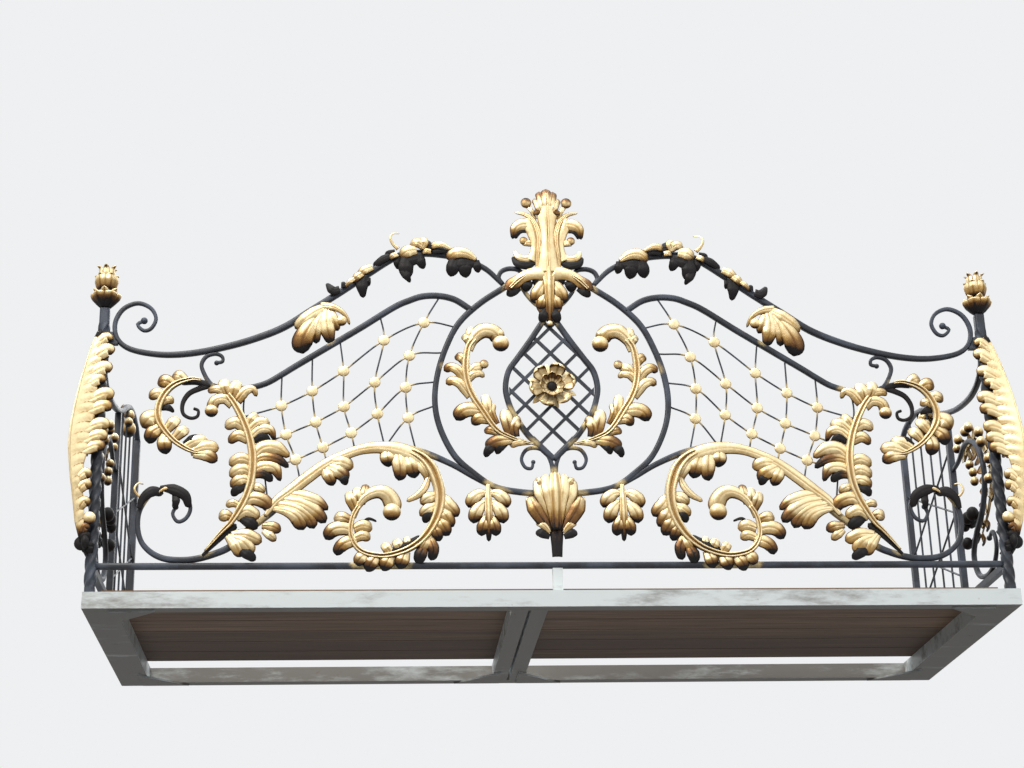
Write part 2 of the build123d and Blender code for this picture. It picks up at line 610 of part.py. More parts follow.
def make_side_railing():
    """Side railing: stiles, rails, a net of uprights and a scroll with a leaf."""
    reach = -panel_y - POST / 2
    hand_line = side_drawn(HANDRAIL_LINE)
    wall_top, hand_end = hand_line[0][1], hand_line[-1][1]
    rail_middle = (RAIL_FOOT + rail_top) / 2
    rail = Pos((WALL_STILE + reach) / 2, rail_middle) * Rectangle(reach - WALL_STILE, RAIL_HEIGHT)
    wall = Pos(WALL_STILE / 2, (deck_level + wall_top) / 2) * Rectangle(WALL_STILE, wall_top - deck_level)
    post = Pos(reach + POST / 2, (deck_level + POST_TOP) / 2) * Rectangle(POST, POST_TOP - deck_level)
    hand = bar(hand_line) - wall - post
    under_hand = make_face(Polyline(
        (WALL_STILE, rail_top), (WALL_STILE, wall_top), *hand_line[1:-1], (reach, hand_end),
        (reach, rail_top), close=True))
    stile = Pos(INNER_STILE_AT, (rail_top + POST_TOP) / 2) * Rectangle(INNER_STILE, POST_TOP - rail_top)
    stile = (stile & under_hand) - hand
    foot_middle = (deck_level + RAIL_FOOT) / 2
    stile_foot = Pos(INNER_STILE_AT, foot_middle) * Rectangle(INNER_STILE, RAIL_FOOT - deck_level)
    scroll_line = [(INNER_STILE_AT, up(SCROLL_START))] + side_drawn([
        (640, 572), (710, 600), (790, 590), (860, 530), (880, 440), (830, 350), (740, 290), (690, 230),
        (720, 160), (800, 134), (880, 150), (920, 200), (900, 250), (860, 240)])
    scroll = bar(scroll_line, taper=(0.65, 0.9, 0.9, 0.9, 0.55), ball=1)
    scroll = scroll - stile - rail

    inner_face = INNER_STILE_AT - INNER_STILE / 2
    lines = []
    for place in range(SIDE_UPRIGHTS):
        away = WALL_STILE + (inner_face - WALL_STILE) * (place + 1) / (SIDE_UPRIGHTS + 1)
        lines.append([(away, rail_top), (away, POST_TOP)])
    for low, high in ((200, 420), (420, 640)):
        lines.append([(WALL_STILE, up(low)), (inner_face, up(high))])
        lines.append([(WALL_STILE, up(high)), (inner_face, up(low))])
    net = ((Sketch() + [wire(line) for line in lines]) & under_hand) - hand - stile

    bars = side_layer(BAR_DEPTH)
    keep_pair("wall_stiles", solid_of(wall, BAR_DEPTH, bars))
    keep_pair("side_bottom_rails", solid_of(rail, BAR_DEPTH, bars))
    keep_pair("side_handrails", solid_of(hand, BAR_DEPTH, bars))
    keep_pair("inner_stiles", solid_of(stile + stile_foot, BAR_DEPTH, bars))
    keep_pair("side_scrolls", solid_of(scroll, BAR_DEPTH, bars))
    keep_pair("side_nets", solid_of(net, NET_DEPTH, side_layer(NET_DEPTH)))
    keep_pair("side_leaves", leaf(
        side_drawn([(650, 578), (760, 600), (850, 545), (885, 440), (820, 340), (720, 270)]),
        lobes(46, 6), lobes(46, 6), plane=side_face, growth=side_stretch))


make_platform()
make_deck()
make_post()
make_finial()
make_post_leaf()
panel_bars, pointed_band = make_front_bars()
make_net(panel_bars)
make_lattice(pointed_band)
make_rosette()
make_front_leaves()
make_crest()
make_side_railing()

os.makedirs("parts", exist_ok=True)
for name, shape in nodes.items():
    export_step(shape, f"parts/{name}.step")
print(len(nodes), "pieces written")
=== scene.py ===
# %% [markdown]
# # A wrought iron balcony with gilded acanthus leaves
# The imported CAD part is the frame. This notebook dresses it: chased leaves instead of faceted
# relief, rounded bars instead of flat ones, and procedural finishes on every surface.

# %% Load the frame
import json

import bpy
import numpy as np
from mathutils import Matrix, Vector


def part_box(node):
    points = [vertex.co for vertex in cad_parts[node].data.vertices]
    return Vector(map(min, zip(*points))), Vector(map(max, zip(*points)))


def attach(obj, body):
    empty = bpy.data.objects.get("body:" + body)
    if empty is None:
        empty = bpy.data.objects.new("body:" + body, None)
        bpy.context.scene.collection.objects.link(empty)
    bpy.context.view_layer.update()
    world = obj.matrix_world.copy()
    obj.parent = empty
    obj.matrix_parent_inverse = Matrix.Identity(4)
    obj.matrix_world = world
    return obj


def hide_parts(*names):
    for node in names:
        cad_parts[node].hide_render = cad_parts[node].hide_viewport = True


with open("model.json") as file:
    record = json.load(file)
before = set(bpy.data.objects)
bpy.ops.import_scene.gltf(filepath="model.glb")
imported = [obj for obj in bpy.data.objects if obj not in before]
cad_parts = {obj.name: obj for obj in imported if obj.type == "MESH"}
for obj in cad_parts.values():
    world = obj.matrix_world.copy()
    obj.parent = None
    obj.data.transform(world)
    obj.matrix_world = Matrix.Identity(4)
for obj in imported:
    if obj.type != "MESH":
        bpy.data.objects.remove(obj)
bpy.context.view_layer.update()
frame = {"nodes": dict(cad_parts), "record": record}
MM = 0.001
print(len(frame["nodes"]), "CAD nodes")

# %% [markdown]
# ## Where things stand
# Every place below comes from the frame: the plane of the front bars, the axis of a post and the
# plane of a side railing. A drawing needs only two numbers a point then, in millimetres along
# the panel and above the middle of the platform's tubes, so a line can be written as plain text.

# %% Planes of the railing
post_low, post_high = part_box("left_post")
rail_low, rail_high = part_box("bottom_rail")
post_x = (post_low.x + post_high.x) / 2
panel_y = (rail_low.y + rail_high.y) / 2
post_head = post_high.z
UP = np.array([0.0, 0.0, 1.0])


def numbers(text):
    """Numbers of a text, parted by spaces, commas or new lines."""
    return [float(word) for word in text.replace(",", " ").split()]


class Sheet:
    """A drawing plane: along and up are its directions in the row frame, out faces the viewer.

    A drawn line is a text of pairs distance,height, where distance counts along times hand.
    The axis of the corner post stands at post on the sheet.
    """

    def __init__(self, origin, along, out, hand, post):
        self.origin, self.along, self.out = np.array(origin), np.array(along), np.array(out)
        self.hand, self.post = hand, post / MM

    def read(self, points):
        """Rows (along, up) in millimetres, from a drawn line or from such rows."""
        if isinstance(points, str):
            return np.reshape(numbers(points), (-1, 2)) * [self.hand, 1]
        return np.atleast_2d(np.array(points, float))

    def place(self, flat, raised=0.0):
        """Point = origin + x * along + z * up + raised * out, for flat (..., 2) in metres."""
        flat = np.asarray(flat)
        raised = np.broadcast_to(raised, flat.shape[:-1])[..., None]
        return self.origin + flat[..., :1] * self.along + flat[..., 1:] * UP + raised * self.out


front = Sheet((0, panel_y, 0), along=(1.0, 0.0, 0.0), out=(0.0, -1.0, 0.0), hand=-1, post=post_x)
left_side = Sheet((post_x, 0, 0), along=(0.0, -1.0, 0.0), out=(-1.0, 0.0, 0.0), hand=1, post=-panel_y)
print("panel plane", round(panel_y, 3), "post axis", round(post_x, 3))

# %% [markdown]
# ## Smooth lines
# A smith bends a bar so that its curvature changes slowly. A Catmull-Rom curve does that through
# a handful of points. Resampling it by length keeps a profile that is carried along it even.

# %% Curves through points
def smooth(points, count):
    """Curve through points in millimetres: p(t) = Hermite blend, tangents (next - last) / 2.

    The result has count samples in metres, spaced evenly by length.
    """
    given = np.array(points, float) * MM
    ends = 2 * given[[0, -1]] - given[[1, -2]]
    padded = np.vstack([ends[:1], given, ends[1:]])
    tangent = (padded[2:] - padded[:-2]) / 2
    t = np.linspace(0, len(given) - 1, 16 * len(given))
    cell = np.minimum(t.astype(int), len(given) - 2)
    f = (t - cell)[:, None]
    dense = (
        (2 * f**3 - 3 * f**2 + 1) * given[cell] + (f**3 - 2 * f**2 + f) * tangent[cell]
        + (3 * f**2 - 2 * f**3) * given[cell + 1] + (f**3 - f**2) * tangent[cell + 1]
    )
    run = np.concatenate([[0], np.cumsum(np.linalg.norm(np.diff(dense, axis=0), axis=1))])
    even = np.linspace(0, run[-1], count)
    return np.stack([np.interp(even, run, dense[:, axis]) for axis in range(dense.shape[1])], -1)


def normals(line):
    """Left-hand unit normals (-tz, tx) of a sampled flat line."""
    step = np.gradient(line, axis=0)
    tangent = step / np.linalg.norm(step, axis=1, keepdims=True)
    return np.stack([-tangent[:, 1], tangent[:, 0]], -1)


def strip(line, half, t):
    """Flat places centre(s) + half(s) * t * normal(s) of a strip along a line."""
    return line[:, None] + (half * t)[..., None] * normals(line)[:, None]


def along(values, share):
    """Value at each share 0..1 of an evenly spaced list."""
    values = np.atleast_1d(np.array(values, float))
    return np.interp(share, np.linspace(0, 1, len(values)), values)


print("a quarter turn resampled:", smooth([(0, 0), (7, 3), (10, 10)], 5).round(4).tolist())

# %% [markdown]
# ## Arithmetic on shader sockets
# Finishes are sums and products of noises. Wrapping a socket in a small class lets them be
# written as formulas: each operator adds one Math node, and any other node has one method.

# %% Shader fields
class Field:
    """A number or colour that varies over a surface, held by a node socket."""

    def __init__(self, tree, socket):
        self.tree, self.socket = tree, socket

    def node(self, kind, inputs, output=0, **settings):
        """Output of a new node of any kind; inputs maps socket names or numbers to values."""
        made = self.tree.nodes.new(kind)
        for key, value in settings.items():
            setattr(made, key, value)
        for key, value in inputs.items():
            if isinstance(value, Field):
                self.tree.links.new(value.socket, made.inputs[key])
            else:
                made.inputs[key].default_value = value
        return Field(self.tree, made.outputs[output])

    def math(self, operation, *others):
        """Math node of this field and up to two others."""
        inputs = dict(enumerate((self, *others)))
        return self.node("ShaderNodeMath", inputs, operation=operation)

    def __add__(self, other):
        return self.math("ADD", other)

    def __sub__(self, other):
        return self.math("SUBTRACT", other)

    def __mul__(self, other):
        return self.math("MULTIPLY", other)

    def __rsub__(self, other):
        return self.node("ShaderNodeMath", {0: other, 1: self}, operation="SUBTRACT")

    def step(self, low, high):
        """Smooth rise from 0 at low to 1 at high."""
        return self.node("ShaderNodeMapRange", {"Value": self, "From Min": low, "From Max": high},
                         interpolation_type="SMOOTHSTEP")

    def mix(self, first, second):
        """Colour that goes from first, where this is 0, to second, where it is 1."""
        return self.node("ShaderNodeMix", {0: self, 6: first, 7: second}, 2, data_type="RGBA")

    def noise(self, scale, detail=3.0, roughness=0.6):
        """Fractal noise about 0.5, read at this position."""
        inputs = {"Vector": self, "Scale": scale, "Detail": detail, "Roughness": roughness}
        return self.node("ShaderNodeTexNoise", inputs)

    def stretched(self, x, y, z):
        """Position times a size for each axis."""
        return self.node("ShaderNodeVectorMath", {0: self, 1: (x, y, z)}, operation="MULTIPLY")

    def axis(self, index):
        """One coordinate of this vector."""
        return self.node("ShaderNodeSeparateXYZ", {0: self}, index)

    def bump(self, strength, distance=0.001):
        """Normal that is tilted as if this were a height in units of distance."""
        inputs = {"Height": self, "Strength": strength, "Distance": distance}
        return self.node("ShaderNodeBump", inputs)


def finish(name, paint):
    """Material whose inputs come from paint(place): a map of socket name to field or constant."""
    material = bpy.data.materials.new(name)
    material.use_nodes = True
    tree = material.node_tree
    shader = tree.nodes["Principled BSDF"]
    coordinates = tree.nodes.new("ShaderNodeTexCoord")
    for key, value in paint(Field(tree, coordinates.outputs["Object"])).items():
        if isinstance(value, Field):
            tree.links.new(value.socket, shader.inputs[key])
        else:
            shader.inputs[key].default_value = value
    return material


# %% [markdown]
# ## Gilding
# Bronze paint is painted cream on the crests of the leaves and on faces turned up, as painted light, and
# brown to black in creases, at roots, on tips and on faces turned down, as painted shade; the backs, bare
# of gilding, are dark too. A number of painted shade in each mesh, the facing of the surface and two
# noises decide how far it darkens, the noises as wear that differs at random; a fine noise gives the
# hammered skin.

# %% Gold
def paint_gold(place):
    """Base = painted shade: nearly black on undersides, brown in creases; warm gold between; painted
    light: cream on crests and on faces turned up.
    """
    painted_shade_and_black = place.node("ShaderNodeAttribute", {}, 2, attribute_name="painted_shade_and_black")
    facing = place.node("ShaderNodeNewGeometry", {}, 1)
    upward, back = facing.axis(2), facing.axis(1)
    cloud = place.noise(14.0, 4.0)
    grain = place.noise(160.0, 2.0)
    # Painted shade on faces turned down; backs that face the wall are dark because they are bare of
    # gilding.
    under = (upward * -1.0).step(0.30, 0.95) + back.step(0.0, 0.6) * 0.7
    # Painted shade from the attribute and the facing, together with wear from two noises.
    shade_and_wear = painted_shade_and_black * 0.40 + under * 0.55 + cloud * 0.40 + grain * 0.24 - 0.24
    # Painted light: faces turned up are paler.
    lit = upward.step(-0.6, 0.4)
    pale = (lit * 0.35 + cloud * 0.60 + grain * 0.3 - painted_shade_and_black * 0.5 + 0.10).step(0.30, 0.95)
    bright = pale.mix((0.47, 0.275, 0.08, 1), (0.91, 0.76, 0.46, 1))
    brown = shade_and_wear.step(0.18, 0.52).mix(bright, (0.170, 0.078, 0.026, 1))
    black = shade_and_wear.step(0.48, 0.80)
    return {
        "Base Color": black.mix(brown, (0.008, 0.006, 0.006, 1)),
        "Metallic": 0.45 - black * 0.40,
        "Roughness": black * 0.20 + grain * 0.15 + 0.34,
        "Specular IOR Level": 0.25,
        "Normal": (grain * 0.3 + place.noise(60.0)).bump(0.3, 0.002),
    }


# %% [markdown]
# ## Black paint on iron
# The bars have a satin black coat with blue grey patches, painted in both as scuffs and as a painted
# sheen. Gilding was sprayed on the leaves after the bars were painted, so a little of it drifted on to
# them in soft patches.

# %% Iron
def paint_iron(place):
    """Near black with blue grey patches, scuffs and a painted sheen, and a drift of gold where the near
    attribute is high.
    """
    # Blue grey patches: scuffs, and a painted sheen of the satin coat.
    scuff_and_sheen = place.noise(7.0, 5.0).step(0.42, 0.68)
    near = place.node("ShaderNodeAttribute", {}, 2, attribute_name="near")
    drift = (near * 0.9 + place.noise(22.0, 4.0) * 0.7 + place.noise(150.0) * 0.3 - 0.75).step(0.05, 0.65)
    base = scuff_and_sheen.mix((0.018, 0.020, 0.026, 1), (0.066, 0.077, 0.102, 1))
    return {
        "Base Color": (drift * 0.8).mix(base, (0.62, 0.47, 0.22, 1)),
        "Metallic": drift * 0.3,
        "Specular IOR Level": 0.35,
        "Roughness": scuff_and_sheen * 0.16 + place.noise(40.0) * 0.15 + 0.36,
        "Normal": place.noise(240.0).bump(0.2),
    }


# %% [markdown]
# ## Primed steel and boards
# The platform has a pale primer with grey scuffs and a little rust at the welds, painted shade on faces
# turned down, and a darker band beside the wall. The boards are brown, with grain along them and a shade
# of their own: a floor function of the place across the deck numbers them.

# %% Platform finishes
BOARDS_A_METRE = 7.3


def paint_primer(place):
    """Pale grey with long dirty runs and small spots of rust; painted shade makes it darkest on faces
    turned down, and it is darker beside the wall.
    """
    below = (place.node("ShaderNodeNewGeometry", {}, 1).axis(2) * -1.0).step(0.3, 0.9)
    wall = place.axis(1).step(-0.12, -0.04)
    runs = place.stretched(1.0, 4.0, 4.0).noise(3.0, 6.0, 0.7)
    # Dirt runs, with painted shade on faces turned down and a darker band beside the wall.
    dirt_and_shade = (runs + below * 0.30 + wall * 0.22).step(0.45, 0.75)
    rust = place.noise(16.0, 6.0, 0.75).step(0.64, 0.74)
    pale = dirt_and_shade.mix((0.74, 0.79, 0.79, 1), (0.24, 0.225, 0.205, 1))
    return {
        "Base Color": (rust * 0.85).mix(pale, (0.16, 0.065, 0.03, 1)),
        "Roughness": dirt_and_shade * 0.2 + rust * 0.25 + 0.42,
        "Normal": (place.noise(90.0) + rust).bump(0.25),
    }


def paint_boards(place):
    """Brown wood: fine grain along the boards, darker bands and a shade for each board."""
    board = (place.axis(1) * BOARDS_A_METRE).math("FLOOR")
    shade = board.node("ShaderNodeTexWhiteNoise", {"W": board}, 0, noise_dimensions="1D")
    grain = place.stretched(1.6, 38.0, 38.0).noise(2.2, 6.0, 0.65)
    band = place.stretched(0.7, 9.0, 9.0).noise(1.6, 3.0)
    tone = (grain * 0.55 + band * 0.45 + shade * 0.42 - 0.20).step(0.3, 0.8)
    return {
        "Base Color": tone.mix((0.055, 0.028, 0.014, 1), (0.23, 0.125, 0.06, 1)),
        "Roughness": 0.75 - tone * 0.15,
        "Normal": grain.bump(0.4),
    }


SLOT_FINISH = {
    "gold_leaf": finish("gold", paint_gold),
    "black_iron": finish("iron", paint_iron),
    "painted_steel": finish("primer", paint_primer),
    "deck_wood": finish("boards", paint_boards),
}
for part in frame["record"]["subparts"]:
    for material_slot in frame["nodes"][part["node"]].material_slots:
        material_slot.material = SLOT_FINISH[part["material_slot"]]
print("finishes:", ", ".join(SLOT_FINISH))

# %% [markdown]
# ## Collecting surfaces
# Every form is a grid of points, worked out from two parameters. A Shape collects such grids into one
# mesh, with a number at each point for the finish, which paints shade: it is 0 on a crest, 1 in a crease,
# where painted shade falls, and 2 where a leaf is black. The right half of the railing is the mirror image
# of the left, so a shape can add a grid twice, with the second turned so that it still faces out.

# %% A mesh made of grids
def put(name, data):
    """New object of the scene that holds the data."""
    made = bpy.data.objects.new(name, data)
    bpy.context.scene.collection.objects.link(made)
    return made


class Shape:
    """Grids of points gathered into one mesh."""

    def __init__(self):
        self.points, self.faces, self.painted_shade_and_black = [], [], []
        self.size = 0

    def add(self, grid, painted_shade_and_black=0.0, closed=False, both=False):
        """Add grids (..., rows, columns, 3), and their mirror images if both.

        A closed grid has its last column joined to the first, and both its ends covered.
        """
        rows, columns = grid.shape[-3:-1]
        block = grid.reshape(-1, rows, columns, 3)
        column = np.arange(columns if closed else columns - 1)
        row = np.arange(rows - 1)[:, None]
        here, there = row * columns + column, row * columns + (column + 1) % columns
        quads = np.stack([here, there, there + columns, here + columns], -1).reshape(-1, 4)
        starts = self.size + np.arange(len(block)) * rows * columns
        self.faces += (starts[:, None, None] + quads).reshape(-1, 4).tolist()
        if closed:
            ring = np.arange(columns)
            self.faces += (starts[:, None] + ring[::-1]).tolist()
            self.faces += (starts[:, None] + ring + (rows - 1) * columns).tolist()
        self.points.append(block.reshape(-1, 3))
        self.painted_shade_and_black.append(np.broadcast_to(painted_shade_and_black, grid.shape[:-1]).ravel())
        self.size += len(self.points[-1])
        if both:
            turned = (grid * [-1, 1, 1])[..., ::-1, :]
            self.add(turned, np.broadcast_to(painted_shade_and_black, grid.shape[:-1])[..., ::-1], closed)

    def build(self, name, slot_name, nodes, thickness=0.0):
        """Make the mesh an object that stands for CAD nodes and has the finish of a slot."""
        mesh = bpy.data.meshes.new(name)
        mesh.from_pydata(np.vstack(self.points).tolist(), [], self.faces)
        # The attribute carries painted shade, and 2 where a leaf is black, to the finish.
        mesh.attributes.new("painted_shade_and_black", "FLOAT", "POINT").data.foreach_set("value", np.concatenate(self.painted_shade_and_black))
        mesh.polygons.foreach_set("use_smooth", np.full(len(mesh.polygons), True))
        mesh.validate()
        piece = put(name, mesh)
        mesh.materials.append(SLOT_FINISH[slot_name])
        if thickness:
            solid = piece.modifiers.new("Sheet", "SOLIDIFY")
            solid.thickness = thickness
            solid.offset = 0
        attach(piece, "root")
        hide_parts(*nodes)
        print(name, len(mesh.polygons), "faces")


# %% [markdown]
# ## Bars
# A bar is a profile carried along a line: at each sample the profile's first axis lies along
# the line's normal and the second points out of the panel. A rounded square has the worn edges
# of forged bar. Scrolls taper, and most end in a small forged ball.

# %% Carrying a profile along a line
def squarish(count=16, roundness=5.0):
    """Profile |x|^n + |y|^n = 1: a circle for n = 2 and nearly a square for large n."""
    angle = np.linspace(0, 2 * np.pi, count, endpoint=False) + np.pi / count
    c, s = np.cos(angle), np.sin(angle)
    reach = (np.abs(c) ** roundness + np.abs(s) ** roundness) ** (-1 / roundness)
    return np.stack([c * reach, s * reach], -1)


def carry(line, widths, depth, sheet, profile):
    """Surface: centre(s) + a * width(s)/2 * normal(s) + b * depth/2 * out, for (a, b) on profile."""
    share = np.linspace(0, 1, len(line))
    half = along(widths, share) * MM / 2
    flat = line[:, None] + profile[None, :, :1] * (half[:, None] * normals(line))[:, None]
    out = profile[None, :, 1] * (np.minimum(half * 2, depth * MM) / 2)[:, None]
    return sheet.place(flat, out)


def ball(centre, diameter, sheet, raised=0, squash=1.0):
    """Sphere: rings of latitude from pole to pole, flattened towards the panel by squash.

    It sits raised millimetres out from the middle of the bars.
    """
    latitude = np.linspace(0.02, np.pi - 0.02, 11)[:, None]
    longitude = np.linspace(0, 2 * np.pi, 18, endpoint=False)
    radius = diameter * MM / 2
    around = np.stack([np.cos(longitude), np.sin(longitude)], -1)
    flat = sheet.read(centre)[0] * MM + radius * np.sin(latitude)[..., None] * around
    out = raised * MM - squash * radius * np.cos(latitude) * np.ones_like(longitude)
    return sheet.place(flat, out)


BAR = 18
DEPTH = (rail_high.y - rail_low.y) / MM
print("bars are", BAR, "mm wide and", round(DEPTH, 1), "mm deep")
SQUARE = squarish()
ROUND = squarish(8, 2.0)


def bar(shape, points, widths, depth=DEPTH, sheet=front, tip=0, both=True, samples=0, profile=SQUARE,
        painted_shade_and_black=0.0):
    """Add a bar along points, with a ball at its end if tip is a diameter."""
    points = sheet.read(points)
    line = smooth(points, samples or 10 * len(points))
    shape.add(carry(line, widths, depth, sheet, profile), painted_shade_and_black, closed=True, both=both)
    if tip:
        shape.add(ball(points[-1], tip, sheet), painted_shade_and_black, closed=True, both=both)


# %% [markdown]
# ## The bars of the front
# The lines are the ones of the drawing: the top rail runs from a hook at the crest, over the
# shoulder, to a spiral at the post. Each is drawn once and mirrored.

# %% Front bars
top_rail = Shape()
bar(top_rail, """
    145,1040 159,1055 195,1091 236,1114 287,1132 338,1142 390,1147 441,1145 492,1129 569,1076
    646,1019 749,947 837,887 935,845 1032,816 1130,797 1218,794 1305,811 1347,845 1357,897
    1335,945 1291,966 1250,950 1232,915 1245,882 1268,874 1288,894 1268,907""",
    (14, BAR + 2, BAR + 2, BAR + 2, BAR, BAR - 4, 10), tip=22)
bar(top_rail, "145,1040 158,1062 148,1086 122,1096 92,1090 80,1066 90,1046 112,1044", (14, 14, 10), tip=16)
top_rail.build("top_rail_bars", "black_iron", ["top_rails"])

shoulder = Shape()
bar(shoulder, """
    244,949 256,958 300,987 349,999 400,997 441,983 492,958 595,888 697,822 800,755 837,730
    886,700 940,684 990,680 1032,682 1056,697 1075,726 1086,760 1072,788 1044,797 1024,788
    1022,772 1040,767""", (BAR, BAR, BAR, BAR - 2, 10), tip=16)
shoulder.build("shoulder_bars", "black_iron", ["shoulder_rails"])

lower = Shape()
bar(lower, """
    176,360 212,375 251,397 318,438 400,474 482,492 554,492 646,462 697,436 749,395 800,352
    852,292 935,223 983,175 1032,152 1081,138 1130,134 1179,140 1218,160 1247,194 1259,245
    1252,297 1218,345 1170,358 1125,343 1104,300 1115,266 1140,254 1156,277 1148,300""",
    (12, BAR + 2, BAR + 2, BAR + 2, BAR, BAR - 4, 10), tip=18)
lower.build("lower_scroll_bars", "black_iron", ["lower_scrolls"])

ring = Shape()
left_arc = front.read("""
    112,1048 149,1024 221,973 287,906 328,824 356,732 365,640 350,555 308,467 251,410 185,364
    97,346 0,343""")
bar(ring, np.vstack([left_arc, left_arc[-2::-1] * [-1, 1]]), (BAR,), both=False)
ring.build("medallion_bar", "black_iron", ["medallion_ring"])

small = Shape()
bar(small, "92,1044 70,1006 38,972 0,957", (10, 18))
bar(small, "3,372 4,400 8,440 24,475 52,490 84,484 100,455 90,428 70,424 64,444", (14, 12, 9), tip=14)
small.build("small_curls", "black_iron", ["crest_yoke", "base_curls"])

pointed = Shape()
bar(pointed, "0,946 36,890 67,842 105,787 133,745 144,696 140,655 122,602 82,538 50,503 0,452", (BAR,))
pointed.build("pointed_bars", "black_iron", ["pointed_frame"])

bottom = Shape()
rail_middle = (rail_low.z + rail_high.z) / 2 / MM
rail_ends = [(end.x / MM, rail_middle) for end in (rail_low, rail_high)]
bar(bottom, rail_ends, ((rail_high.z - rail_low.z) / MM,), both=False, samples=160,
    profile=squarish(20, 3.2))
bottom.build("bottom_rail_bar", "black_iron", ["bottom_rail"])

# %% [markdown]
# ## Acanthus leaves
# A chased acanthus leaf is a grooved rib with broad round fingers on both sides, in groups of two or
# three. Every finger is one curved blade: a line, a width along it and a shade that darkens it. The shade
# is painted shade on tips and undersides, together with thin gilding there. In the drawings below, each
# line is one blade, with its points : its widths : its shades, where 2 is black.

# %% Blades
SHEET = 0.0016
BLACK = 2.0


def band(shape, points, widths, shade=(0.0,), sheet=front, lift=(3, 9, 6), arch=0.36, curl=10.0,
         ridges=0, both=True, rows=22):
    """Add a blade along points, with a round end that rolls back by curl millimetres.

    Its half width falls as (1 - u u) ** 0.6 over the last half width of its length.
    Height = lift + half (arch (1 - t t) + 0.1 cos(2 ridges pi t) (1 - t ** 4)) - curl bend ** 2
    A vein is pressed in along the middle and fades towards the tip.
    """
    line = smooth(sheet.read(points), rows)
    t = np.linspace(-1, 1, 8 * ridges + 11)
    share = np.linspace(0, 1, rows)[:, None]
    run = np.linalg.norm(np.diff(line, axis=0), axis=1).sum()
    rounding = min(widths[-1] * MM / 2 / run, 0.7)
    ending = np.clip((share - 1 + rounding) / rounding, 0, 1)
    half = along(widths, share) * MM / 2 * (1.005 - ending**2) ** 0.6
    flat = strip(line, half, t)
    wave = 0.10 * np.cos(2 * ridges * np.pi * t) * (1 - t**4) * (ridges > 0)
    bend = np.clip((share - 0.55) / 0.45, 0, 1)
    vein = (np.abs(t) < 0.05) * (1 - share) ** 0.5 * (ridges == 0)
    height = (DEPTH / 2 + along(lift, share) - curl * bend**2) * MM
    height = height + half * (arch * (1 - t * t) + wave - 0.10 * vein)
    # Painted shade: darker in the creases, along the vein, at the edges and on the rolled end, with the
    # given shade added along the blade.
    crease = 0.6 * (0.5 - 0.5 * np.cos(2 * ridges * np.pi * t)) ** 2
    painted_shade_and_black = crease + 0.7 * vein + 0.8 * np.abs(t) ** 8 + 0.6 * ending**3 + along(shade, share)
    shape.add(sheet.place(flat[:, ::-1], height[:, ::-1]), painted_shade_and_black[:, ::-1], both=both)


def blades(shape, drawing, sheet=front, middle=0, turn=1, **settings):
    """Add a blade for each line of a drawing, which holds its points : widths : shades.

    Distances along the sheet are multiplied by turn and counted from middle.
    """
    for row in drawing.strip().splitlines():
        points, widths, shade = row.split(":")
        points = sheet.read(points) * [turn, 1] + [middle, 0]
        band(shape, points, numbers(widths), numbers(shade), sheet, **settings)


# %% [markdown]
# A grooved rib stiffens a leaf, a web joins its fingers where they meet, and a knob is the rolled
# end of a finger, seen from its round side.

# %% Ribs, webs and knobs
def web(shape, left_edge, right_edge=None, shade=(0.0,), lift=(6,), arch=0.3):
    """Add a sheet stretched between two edges that run the same way, left of it and right of it.

    Without a right edge it spans from the left edge to that edge's own mirror image.
    """
    both = right_edge is not None
    left_edge = front.read(left_edge)
    right_edge = front.read(right_edge) if both else left_edge * [-1, 1]
    left_line, right_line = smooth(left_edge, 40), smooth(right_edge, 40)
    t = np.linspace(-1, 1, 13)
    share = np.linspace(0, 1, len(left_line))[:, None]
    reach = (right_line - left_line) / 2
    half = np.linalg.norm(reach, axis=1)[:, None]
    flat = ((left_line + right_line) / 2)[:, None] + t[None, :, None] * reach[:, None]
    height = DEPTH * MM / 2 + along(lift, share) * MM + half * arch * (1 - t * t)
    # Painted shade darkens the web towards its edges, and the given shade adds more along it.
    shape.add(front.place(flat, height), 0.5 * np.abs(t) ** 6 + along(shade, share), both=both)


def rib(shape, points, widths, sheet=front, both=True, lift=(8,)):
    """Add a grooved rib: height = lift + 1.2 half sqrt(1 - t t) (1 - 0.75 exp(-(t / 0.42) ** 2))."""
    line = smooth(sheet.read(points), 100)
    t = np.linspace(-1, 1, 15)
    share = np.linspace(0, 1, len(line))[:, None]
    half = along(widths, share) * MM / 2
    flat = strip(line, half, t)
    channel = np.exp(-((t / 0.42) ** 2))
    height = (DEPTH / 2 + along(lift, share)) * MM + 1.2 * half * np.sqrt(1 - t * t) * (1 - 0.75 * channel)
    # Painted shade darkens the channel of the rib.
    shape.add(sheet.place(flat[:, ::-1], height[:, ::-1]), 0.6 * channel + 0 * half, both=both)


def knob(shape, centre, diameter, shade=0.3, sheet=front, raised=14, squash=0.6, both=True):
    """Add a ball as the round end of a leaflet; painted shade darkens it downwards by shade, and it
    darkens upwards if shade is negative.
    """
    place = ball(centre, diameter, sheet, raised, squash)
    low = np.clip(0.5 - (place[..., 2] / MM - sheet.read(centre)[0, 1]) / diameter, 0, 1)
    share = low if shade > 0 else 1 - low
    painted_shade_and_black = BLACK if shade == BLACK else 1.8 * abs(shade) * share**2
    shape.add(place, painted_shade_and_black, closed=True, both=both)


# %% [markdown]
# ## Leaves of the front
# The tall leaf leans on the lower scroll. Its rib is broad, with a gold channel between two pale
# ridges. The blades on its left come first, then those on its right, from the foot upwards.

